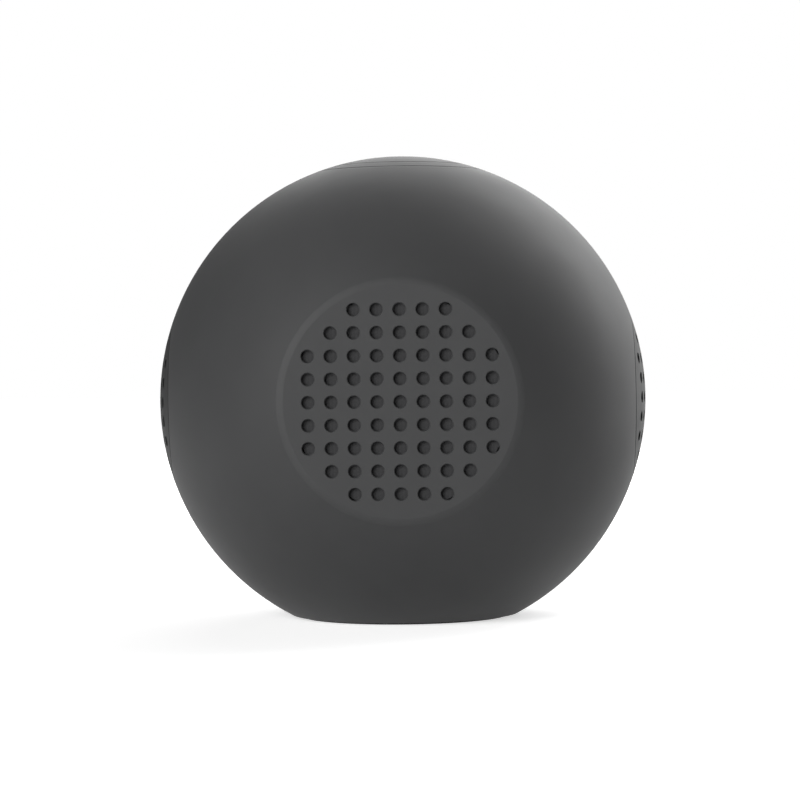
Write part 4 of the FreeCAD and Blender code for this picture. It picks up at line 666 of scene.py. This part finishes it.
copper_wire = Finish("copper_wire", (0.60, 0.26, 0.11), 0.3, {"Metallic": 1.0, "Coat Weight": 0.6})
copper_wire.gloss(0.4, 0.22, 0.4)
copper_wire.tones(1.0, (0.52, 0.21, 0.08), (0.68, 0.32, 0.14))
winding_section = wound_section(bobbin_core, winding_radius, wound_from, wound_to, wire_width)
new_piece(
    "filter_winding",
    turned_piece(winding_section, "x", coil_middle, coil_steps, bead_crease),
    copper_wire, "camera",
)


# Lamp ring: six infrared lamps, each a white ceramic package under a dome of clear resin, a
# light sensor and a small status lamp, soldered to their board close behind the window.
lamp_circle = 10.4 * millimetre
half_lamp = 1.5 * millimetre
lamp_edge = 0.12 * millimetre
dome_radius = 1.3 * millimetre
dome_height = 0.6 * millimetre
dome_sunk = 0.05 * millimetre
dome_steps = 10
lamp_front, board_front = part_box("infrared_leds")[0][1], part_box("infrared_board")[0][1]
package_front = lamp_front + dome_height
lamp_eighths = (0, 1, 3, 4, 5, 7)


def gathered(meshes, crease=50):
    """Several meshes as one, each left in its place."""
    vertices, faces = [], []
    for mesh in meshes:
        start = len(vertices)
        vertices += [tuple(vertex.co) for vertex in mesh.vertices]
        faces += [[start + corner for corner in polygon.vertices] for polygon in mesh.polygons]
    return closed_mesh(vertices, faces, crease)


packages, domes = [], []
for eighth in lamp_eighths:
    turn = math.tau * eighth / 8
    centre = ball_middle + lamp_circle * Vector((math.cos(turn), 0, math.sin(turn)))
    low = (centre.x - half_lamp, package_front, centre.z - half_lamp)
    high = (centre.x + half_lamp, board_front, centre.z + half_lamp)
    packages.append(soft_block(low, high, lamp_edge))
    dome_line = [(dome_radius, package_front + dome_sunk), (0.0, package_front + dome_sunk)]
    for step in range(dome_steps):
        lean = math.pi / 2 * (1 - step / dome_steps)
        rise = (lamp_front - package_front) * math.sin(lean)
        dome_line.append((dome_radius * math.cos(lean), package_front + rise))
    domes.append(turned_piece(dome_line, "y", centre, steps=48, crease=50))
ceramic = Finish("ceramic", (0.70, 0.69, 0.66), 0.5)
ceramic.gloss(0.5, 0.42, 0.6)
ceramic.tones(0.7, (0.64, 0.63, 0.60), (0.74, 0.73, 0.70))
new_piece("lamp_packages", gathered(packages), ceramic, "camera", ["infrared_leds"])
clear_resin = Finish(
    "clear_resin", (0.90, 0.88, 0.82), 0.06, {"Transmission Weight": 1.0, "IOR": 1.5}
)
clear_resin.gloss(0.6, 0.04, 0.10)
new_piece("lamp_domes", gathered(domes), clear_resin, "camera")
smoked_resin = Finish(
    "smoked_resin", (0.30, 0.24, 0.34), 0.12,
    {"Transmission Weight": 0.5, "IOR": 1.5, "Coat Weight": 0.5},
)
smoked_resin.gloss(0.6, 0.08, 0.2)
smoked_resin.tones(1.0, (0.26, 0.20, 0.30), (0.36, 0.30, 0.40))
dress(smoked_resin, "light_sensor", "status_led")


# Small parts: ceramic capacitors, resistors, two power coils, a memory chip and a socket for a
# flat cable, soldered to the lens side of the main board, and resistors beside the lamps.
sunk = 0.02 * millimetre
main_face, lamp_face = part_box("main_board")[0][1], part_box("infrared_board")[0][1]
body_share = 0.94
capacitor_size, capacitor_end, capacitor_edge = (1.6, 0.8, 0.8), 0.36, 0.04
resistor_size, resistor_end, resistor_edge = (1.1, 0.55, 0.36), 0.24, 0.03
lamp_resistor_circle = 12.2


def on_board(size, x, z, face, turn=0.0, off_x=0.0, off_z=0.0, edge=0.05, lift=0.0):
    """A rounded block of (length, width, height) standing on a board, sizes in millimetres."""
    length, width, height = (value * millimetre for value in size)
    block = soft_block(
        (-length / 2, -height, -width / 2), (length / 2, sunk, width / 2), edge * millimetre, 2
    )
    offset = Matrix.Translation((off_x * millimetre, -lift * millimetre, off_z * millimetre))
    spin = Matrix.Rotation(math.radians(turn), 4, "Y")
    block.transform(Matrix.Translation((x * millimetre, face, z * millimetre)) @ spin @ offset)
    return block


def with_ends(size, end, x, z, face, turn, edge):
    """A chip's body and its two tinned ends, which wrap round it."""
    length, width, height = size
    body_size = (length - end, width * body_share, height * body_share)
    body = on_board(body_size, x, z, face, turn, edge=edge)
    reach = (length - end) / 2
    caps = [
        on_board((end, width, height), x, z, face, turn, off_x=side * reach, edge=edge)
        for side in (-1, 1)
    ]
    return body, caps


capacitors = [(x, 20.6, 90) for x in (-8.0, -6.2, -4.4, 4.4, 6.2, 8.0)]
capacitors += [(x, 40.2, 0) for x in (-9.0, -6.6, -4.2, -1.8, 1.8, 4.2, 6.6, 9.0)]
capacitors += [(-9.4, 14.0, 0), (-9.4, 12.6, 0), (9.6, 44.2, 90)]
resistors = [(x, 42.6, 90) for x in (1.6, 2.9, 4.2, 5.5, 6.8)]
resistors += [(x, 17.9, 90) for x in (-8.4, -7.1, 2.2, 3.5, 4.8, 6.1, 7.4)]
resistors += [(2.2, 45.2, 0), (4.4, 45.2, 0), (6.6, 45.2, 0), (-9.4, 43.4, 90), (-9.4, 45.6, 90)]
lamp_resistors = []
for eighth in range(8):
    turn = math.tau * (eighth + 0.5) / 8
    x = lamp_resistor_circle * math.cos(turn)
    z = ball_middle.z / millimetre + lamp_resistor_circle * math.sin(turn)
    lamp_resistors.append((x, z, 90 - math.degrees(turn)))
bodies, slivers, ends = [], [], []
for chips, size, end, edge, face, places in (
    (bodies, capacitor_size, capacitor_end, capacitor_edge, main_face, capacitors),
    (slivers, resistor_size, resistor_end, resistor_edge, main_face, resistors),
    (slivers, resistor_size, resistor_end, resistor_edge, lamp_face, lamp_resistors),
):
    for x, z, turn in places:
        body, caps = with_ends(size, end, x, z, face, turn, edge)
        chips.append(body)
        ends += caps

power_coil_size, power_coil_pad, pad_reach = (4.0, 4.0, 1.9), (0.9, 2.2, 0.5), 1.85
coil_blocks = []
for x, z in ((-5.0, 14.0), (0.2, 14.0)):
    coil_blocks.append(on_board(power_coil_size, x, z, main_face, edge=0.45))
    ends += [on_board(power_coil_pad, x, z, main_face, off_x=side * pad_reach) for side in (-1, 1)]
memory_size, memory_leg, memory_x, memory_z = (5.2, 4.0, 1.5), (0.42, 1.0, 0.5), -4.4, 44.2
leg_pitch, leg_reach = 1.27, 2.3
memory = [on_board(memory_size, memory_x, memory_z, main_face, lift=0.08, edge=0.12)]
for side in (-1, 1):
    for leg in range(4):
        off_x, off_z = leg_pitch * (leg - 1.5), side * leg_reach
        ends.append(on_board(memory_leg, memory_x, memory_z, main_face, 0, off_x, off_z, 0.06))
socket_x, pin_size, pin_pitch = 6.2, (0.28, 0.7, 0.2), 0.8
cable_socket = [
    on_board((7.6, 2.6, 1.2), socket_x, 13.6, main_face, edge=0.15),
    on_board((6.8, 0.9, 1.55), socket_x, 14.4, main_face, edge=0.2),
]
for pin in range(8):
    off_x = pin_pitch * (pin - 3.5)
    ends.append(on_board(pin_size, socket_x, 12.1, main_face, off_x=off_x, edge=0.04))

tan_ceramic = Finish("tan_ceramic", (0.36, 0.23, 0.12), 0.5)
tan_ceramic.gloss(0.4, 0.42, 0.58)
tan_ceramic.tones(1.5, (0.31, 0.19, 0.10), (0.41, 0.27, 0.15))
pressed_ferrite = Finish("pressed_ferrite", (0.07, 0.07, 0.075), 0.7)
pressed_ferrite.grain(0.12, 0.01, 3)
pressed_ferrite.tones(0.3, (0.05, 0.05, 0.055), (0.09, 0.09, 0.095))
ivory_moulding = Finish("ivory_moulding", (0.66, 0.60, 0.48), 0.45)
ivory_moulding.gloss(1.0, 0.38, 0.52)
ivory_moulding.tones(2, (0.62, 0.56, 0.44), (0.70, 0.64, 0.52))
for name, blocks, finish, slot in (
    ("capacitor_bodies", bodies, tan_ceramic, "chip"),
    ("resistor_bodies", slivers, chip_epoxy, "chip"),
    ("power_coils", coil_blocks, pressed_ferrite, "chip"),
    ("memory_chip", memory, chip_epoxy, "chip"),
    ("cable_socket", cable_socket, ivory_moulding, "lamp"),
    ("soldered_ends", ends, tinned_sheet, "steel"),
):
    new_piece(name, gathered(blocks), finish, "camera")


# Speaker motor: a turned steel yoke and pole plate, zinc plated, with a nickel plated magnet
# between them. The yoke is pressed into the basket.
turned_steel = Finish("turned_steel", (0.50, 0.50, 0.51), 0.34, {"Metallic": 1.0})
turned_steel.raised(turned_steel.turning_lines(0.15 * millimetre, 0.4), 0.006 * millimetre)
turned_steel.gloss(1.2, 0.28, 0.44)
turned_steel.tones(3, (0.45, 0.45, 0.46), (0.56, 0.56, 0.56))
dress(turned_steel, "speaker_yoke", "pole_plate")
nickel_plate = Finish("nickel_plate", (0.66, 0.64, 0.60), 0.16, {"Metallic": 1.0})
nickel_plate.gloss(1.0, 0.12, 0.24)
nickel_plate.tones(3, (0.62, 0.60, 0.56), (0.70, 0.68, 0.64))
dress(nickel_plate, "speaker_magnet")


# Speaker basket: a pressed steel dish with a stepped rim, black dipped, on which the cone is
# hung and which the foam ring rests against.
black_dip = Finish("black_dip", (0.03, 0.03, 0.031), 0.4, {"Coat Weight": 0.3})
black_dip.grain(0.3, 0.01, 3)
black_dip.gloss(2, 0.34, 0.5)
black_dip.tones(4, (0.026, 0.026, 0.027), (0.036, 0.036, 0.037))
dress(black_dip, "speaker_frame")


# Voice coil: one layer of enamelled copper wire wound on the cone's neck, hanging in the gap
# between the pole plate and the yoke. It moves with the cone.
coil_inside = 6.35 * millimetre
coil_outside = 6.75 * millimetre
coil_wire = 0.2 * millimetre
low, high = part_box("voice_coil")
coil_section = wound_section(coil_inside, coil_outside, low[1], high[1], coil_wire)
new_piece(
    "voice_winding", turned_piece(coil_section, "y", crease=bead_crease), copper_wire,
    "cone", ["voice_coil"],
)


# Cone: pressed paper, dark with a little fibre showing, with a domed cap over the coil.
# Its rim is glued under the surround and it moves with the coil.
cone_paper = Finish("cone_paper", (0.045, 0.045, 0.048), 0.85)
cone_paper.grain(0.25, 0.02, 4, (1, 6, 1))
cone_paper.tones(0.5, (0.035, 0.035, 0.037), (0.062, 0.061, 0.060), 4)
dress(cone_paper, "speaker_cone")


# Surround: a half roll of thin black rubber between the basket's step and the cone's rim. It
# is made in twelve sectors.
rim_inner = 12.7 * millimetre
step_radius = 12.1 * millimetre
roll_width = 2.1 * millimetre
rubber_thickness = 0.3 * millimetre
tab_width = 0.6 * millimetre
sectors = 12
sector_steps = 8
surround_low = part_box("speaker_surround")[0]
roll_steps = 16
roll_middle = step_radius - roll_width / 2
half_sector = math.pi / sectors


def roll_section(lift):
    """The upper or lower line of the roll's section, from the outer edge to the inner one."""
    radius = roll_width / 2 - (rubber_thickness - lift)
    line = [(rim_inner, surround_low[1] + lift)]
    for step in range(roll_steps + 1):
        turn = math.pi * step / roll_steps
        rise = max(radius * math.sin(turn), lift)
        line.append((roll_middle + radius * math.cos(turn), surround_low[1] + rise))
    line.append((step_radius - roll_width - tab_width, surround_low[1] + lift))
    return line


surround_section = roll_section(rubber_thickness) + roll_section(0)[::-1]
for sector in range(sectors):
    rings = []
    for step in range(sector_steps + 1):
        turn = half_sector * (2 * sector - 1 + 2 * step / sector_steps)
        rings.append(
            [
                (radius * math.cos(turn), place, ball_middle.z + radius * math.sin(turn))
                for radius, place in surround_section
            ]
        )
    skin = closed_mesh(*stacked_rings(rings, closed_ends=False))
    part = new_piece(
        f"surround_{sector + 1}", skin, moulded_rubber, replaced=["speaker_surround"]
    )
    turn = half_sector * 2 * sector
    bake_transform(part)


# Speaker clamp: a black moulded ring that presses the basket home, screwed to three bosses in
# the rear shell.
dress(black_moulding, "speaker_clamp")


# Speaker gasket: a ring of black open foam, squeezed between the basket's rim and the grille
# cloth, so that its sides bulge a little.
foam = Finish("foam", (0.030, 0.030, 0.031), 0.95)
foam.grain(0.25, 0.08, 3)
foam.tones(0.3, (0.018, 0.018, 0.019), (0.045, 0.045, 0.046), 3)
foam_outside = 14.1 * millimetre
foam_bulge = 0.12 * millimetre
foam_steps = 8
outer_share = 0.3


def squeezed_section(inside, outside, low, high, bulge):
    """The section of a foam ring whose free side swells while its faces stay flat."""
    section = []
    for step in range(foam_steps + 1):
        way = step / foam_steps
        section.append((inside - bulge * math.sin(math.pi * way), high + (low - high) * way))
    for step in range(foam_steps + 1):
        way = step / foam_steps
        drawn_in = bulge * outer_share * (1 - math.sin(math.pi * way))
        section.append((outside - drawn_in, low + (high - low) * way))
    return section


low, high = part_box("speaker_gasket")
foam_section = squeezed_section(rim_inner, foam_outside, low[1], high[1], foam_bulge)
speaker_foam = new_piece(
    "speaker_foam", turned_piece(foam_section, "y"), foam, "camera", ["speaker_gasket"]
)


# Grille cloths: black polyester, plain woven from fine threads, cut round and stretched
# behind the holes of the grille and of both side caps to keep dust out.
thread_pitch = 0.5 * millimetre
thread_rise = 0.035 * millimetre
points_per_thread = 4
crossing_share = 0.8
rim_reach = 1.5
cloth_gap = 0.02 * millimetre
cloth_thread = Finish(
    "cloth_thread", (0.022, 0.022, 0.023), 0.7,
    {"Specular IOR Level": 0.2, "Sheen Weight": 0.05, "Sheen Roughness": 0.4},
)
cloth_thread.grain(0.07, 0.01, 3)
cloth_thread.tones(0.12, (0.019, 0.019, 0.020), (0.027, 0.027, 0.028))


def woven_round(node, axis, middle, side):
    """A round of plain weave in a node's place: each crossing swells along its upper thread."""
    low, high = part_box(node)
    along = "xyz".index(axis)
    others = [i for i in range(3) if i != along]
    radius = (high[others[1]] - low[others[1]]) / 2
    base = middle[along]
    point_gap = thread_pitch / points_per_thread
    reach = math.ceil(radius / thread_pitch) * points_per_thread
    spots, vertices = {}, []
    for column in range(-reach, reach + 1):
        for row in range(-reach, reach + 1):
            u = column * thread_pitch / points_per_thread
            v = row * thread_pitch / points_per_thread
            span = math.hypot(u, v)
            if span > radius + point_gap * rim_reach:
                continue
            i, j = round(u / thread_pitch), round(v / thread_pitch)
            du, dv = u / thread_pitch - i, v / thread_pitch - j
            if (i + j) % 2:
                du, dv = dv, du
            arch = math.cos(math.pi * du * crossing_share)
            swell = arch * max(0.0, math.cos(math.pi * dv)) ** 0.5
            if span > radius:
                u, v = u * radius / span, v * radius / span
            point = list(middle)
            point[along] = base + side * thread_rise * swell
            point[others[0]] += u
            point[others[1]] += v
            spots[column, row] = len(vertices)
            vertices.append(point)
    faces = []
    for column, row in spots:
        square = [(column, row), (column + 1, row), (column + 1, row + 1), (column, row + 1)]
        if all(spot in spots for spot in square):
            faces.append(tuple(spots[spot] for spot in square))
    return closed_mesh(vertices, faces, crease=80), radius


for name, node, axis, side in (
    ("rear_cloth", "rear_mesh", "y", 1),
    ("left_cloth", "side_meshes", "x", -1),
    ("right_cloth", "side_meshes", "x", 1),
):
    low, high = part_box(node)
    middle = ball_middle.copy()
    along = "xyz".index(axis)
    middle[along] = low[along] if side < 0 else high[along]
    middle[along] -= side * (thread_rise + cloth_gap)
    mesh, radius = woven_round(node, axis, middle, side)
    cloth = new_piece(name, mesh, cloth_thread, "camera", [node])


# Siren: a black moulded can with a small round port, sealed to its cloth by a foam ring, on
# the right ear of the chassis.
dress(black_moulding, "siren")
siren_foam_inside, siren_foam_outside = 7.2 * millimetre, 8.6 * millimetre
siren_foam_bulge = 0.15 * millimetre
low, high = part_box("siren_gasket")
foam_section = squeezed_section(
    siren_foam_inside, siren_foam_outside, low[0], high[0], siren_foam_bulge
)
siren_foam = new_piece(
    "siren_foam", turned_piece(foam_section, "x"), foam, "camera", ["siren_gasket"]
)


# Microphone boot: a soft rubber sleeve on the left ear that holds the capsule and leads the
# sound to it from the cloth through a narrow port.
boot_outside = 5.0 * millimetre
capsule_radius = 3.0 * millimetre
port_radius = 1.0 * millimetre
boot_edge = 0.3 * millimetre
low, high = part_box("microphone_boot")
capsule_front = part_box("microphone")[0][0]
boot_section = [
    (port_radius, low[0]), (boot_outside, low[0]), (boot_outside, high[0]),
    (capsule_radius, high[0]), (capsule_radius, capsule_front), (port_radius, capsule_front),
]
new_piece(
    "microphone_sleeve", turned_piece(eased(boot_section, boot_edge), "x", steps=96),
    moulded_rubber, "camera", ["microphone_boot"],
)


# Shells: two half balls moulded in dark grey plastic with a soft-touch coat, the grille
# moulded into the rear one. They meet at a hairline seam and are screwed from below.
top_groove = 11.86 * millimetre
button_groove = 9.56 * millimetre
cap_groove = 11.75 * millimetre
groove_reach = 0.3 * millimetre
groove_depth = 0.06 * millimetre
soft_touch = Finish("soft_touch", (0.0300, 0.0304, 0.0310), 0.6, {"Specular IOR Level": 0.25})
soft_touch.grain(0.10, 0.003)
soft_touch.gloss(7, 0.585, 0.615)
soft_touch.tones(5, (0.0292, 0.0295, 0.0301), (0.0308, 0.0312, 0.0318))
for axis, radius in ((2, top_groove), (2, button_groove), (0, cap_groove)):
    soft_touch.raised(soft_touch.groove(axis, radius, groove_reach), groove_depth)
dress(soft_touch, "rear_shell", "front_shell")


# Front window: a disc of dark acrylic with polished faces and an anti-reflection coat, glued
# into its seat. The lamps behind it show only faintly.
coated_acrylic = {
    "Transmission Weight": 0.95, "IOR": 1.49, "Thin Film Thickness": 100.0, "Thin Film IOR": 1.36
}
dark_acrylic = Finish("dark_acrylic", (0.28, 0.255, 0.27), 0.03, coated_acrylic)
dark_acrylic.gloss(6, 0.02, 0.05)
dress(dark_acrylic, "front_window")


# Lens bezel: a ring turned from aluminium and anodised dark grey, its flared mouth showing
# fine turning lines, pressed into the window's bore.
grey_anodised = Finish("grey_anodised", (0.12, 0.12, 0.13), 0.42, {"Metallic": 1.0})
grey_anodised.raised(grey_anodised.turning_lines(0.12 * millimetre), 0.002 * millimetre)
grey_anodised.gloss(1.5, 0.39, 0.46)
grey_anodised.tones(3, (0.110, 0.110, 0.120), (0.130, 0.130, 0.140))
dress(grey_anodised, "lens_bezel")


# Side caps, top ring and top button: moulded like the shells and coated with the same soft
# paint. The caps get a darker copy of that coat as painted shade. They are pushed into their
# seats.
# Painted shade: the shells' soft-touch coat made darker for the caps, standing in for shade on
# them.
painted_shade_cap_coat = Finish("painted_shade_cap_coat", (0.0130, 0.0132, 0.0135), 0.6, {"Specular IOR Level": 0.22})
painted_shade_cap_coat.grain(0.10, 0.003)
painted_shade_cap_coat.gloss(5, 0.58, 0.62)
painted_shade_cap_coat.tones(4, (0.0124, 0.0126, 0.0129), (0.0137, 0.0139, 0.0142))
painted_shade_cap_coat.raised(painted_shade_cap_coat.groove(0, cap_groove, groove_reach), groove_depth)
dress(painted_shade_cap_coat, "left_side_cap", "right_side_cap")
dress(soft_touch, "top_ring", "top_button")
dress(black_moulding, "top_plunger")


# Base plate: black moulding turned up from below against the shells, with the slide, the
# reset pin, the charge socket and the card slot coming through it.
dress(black_moulding, "base_plate", "reset_button", "power_slider")


# Rubber foot: a flat moulded ring glued into its groove, with softly rounded edges. It is
# all that touches the table.
foot_bore = 11.75 * millimetre
foot_round = 0.12 * millimetre
foot_section = eased(ring_profile("base_foot", "z", foot_bore), foot_round)
new_piece(
    "rubber_foot", turned_piece(foot_section, "z", steps=192), moulded_rubber, "camera",
    ["base_foot"],
)


# Tripod insert: a brass bush moulded into the base, threaded inside for a quarter inch
# screw of 20 turns to the inch.
thread_root = 3.175 * millimetre
thread_crest = 2.60 * millimetre
thread_lead = 1.27 * millimetre
flank_slope, root_share = 1.5, 0.25
fade_slope, fade_length = 1.5, 0.5 * thread_lead
bush_radius = 4.0 * millimetre
low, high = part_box("tripod_insert")
around, levels = 72, 112
turns = [math.tau * step / around for step in range(around)]
circle = [(math.cos(turn), math.sin(turn)) for turn in turns]
rings = []
for level in range(levels + 1):
    height = low[2] + (high[2] - low[2]) * level / levels
    fade = min(1.0, fade_slope * min(height - low[2], high[2] - height) / fade_length)
    ring = []
    for step, (c, s) in enumerate(circle):
        phase = (level / levels * (high[2] - low[2]) / thread_lead - step / around) % 1.0
        cut = min(1.0, max(0.0, abs(phase * 2 - 1) * flank_slope - root_share))
        radius = thread_root - (thread_root - thread_crest) * cut * fade
        ring.append((radius * c, radius * s, height))
    rings.append(ring)
for height in (high[2], low[2]):
    rings.append([(bush_radius * c, bush_radius * s, height) for c, s in circle])
rings.append(rings[0])
cut_brass = Finish("cut_brass", (0.72, 0.52, 0.24), 0.28, {"Metallic": 1.0})
cut_brass.gloss(0.6, 0.2, 0.38)
cut_brass.tones(2, (0.66, 0.46, 0.20), (0.78, 0.58, 0.28))
new_piece(
    "threaded_bush", closed_mesh(*stacked_rings(rings, closed_ends=False)), cut_brass,
    "camera", ["tripod_insert"],
)
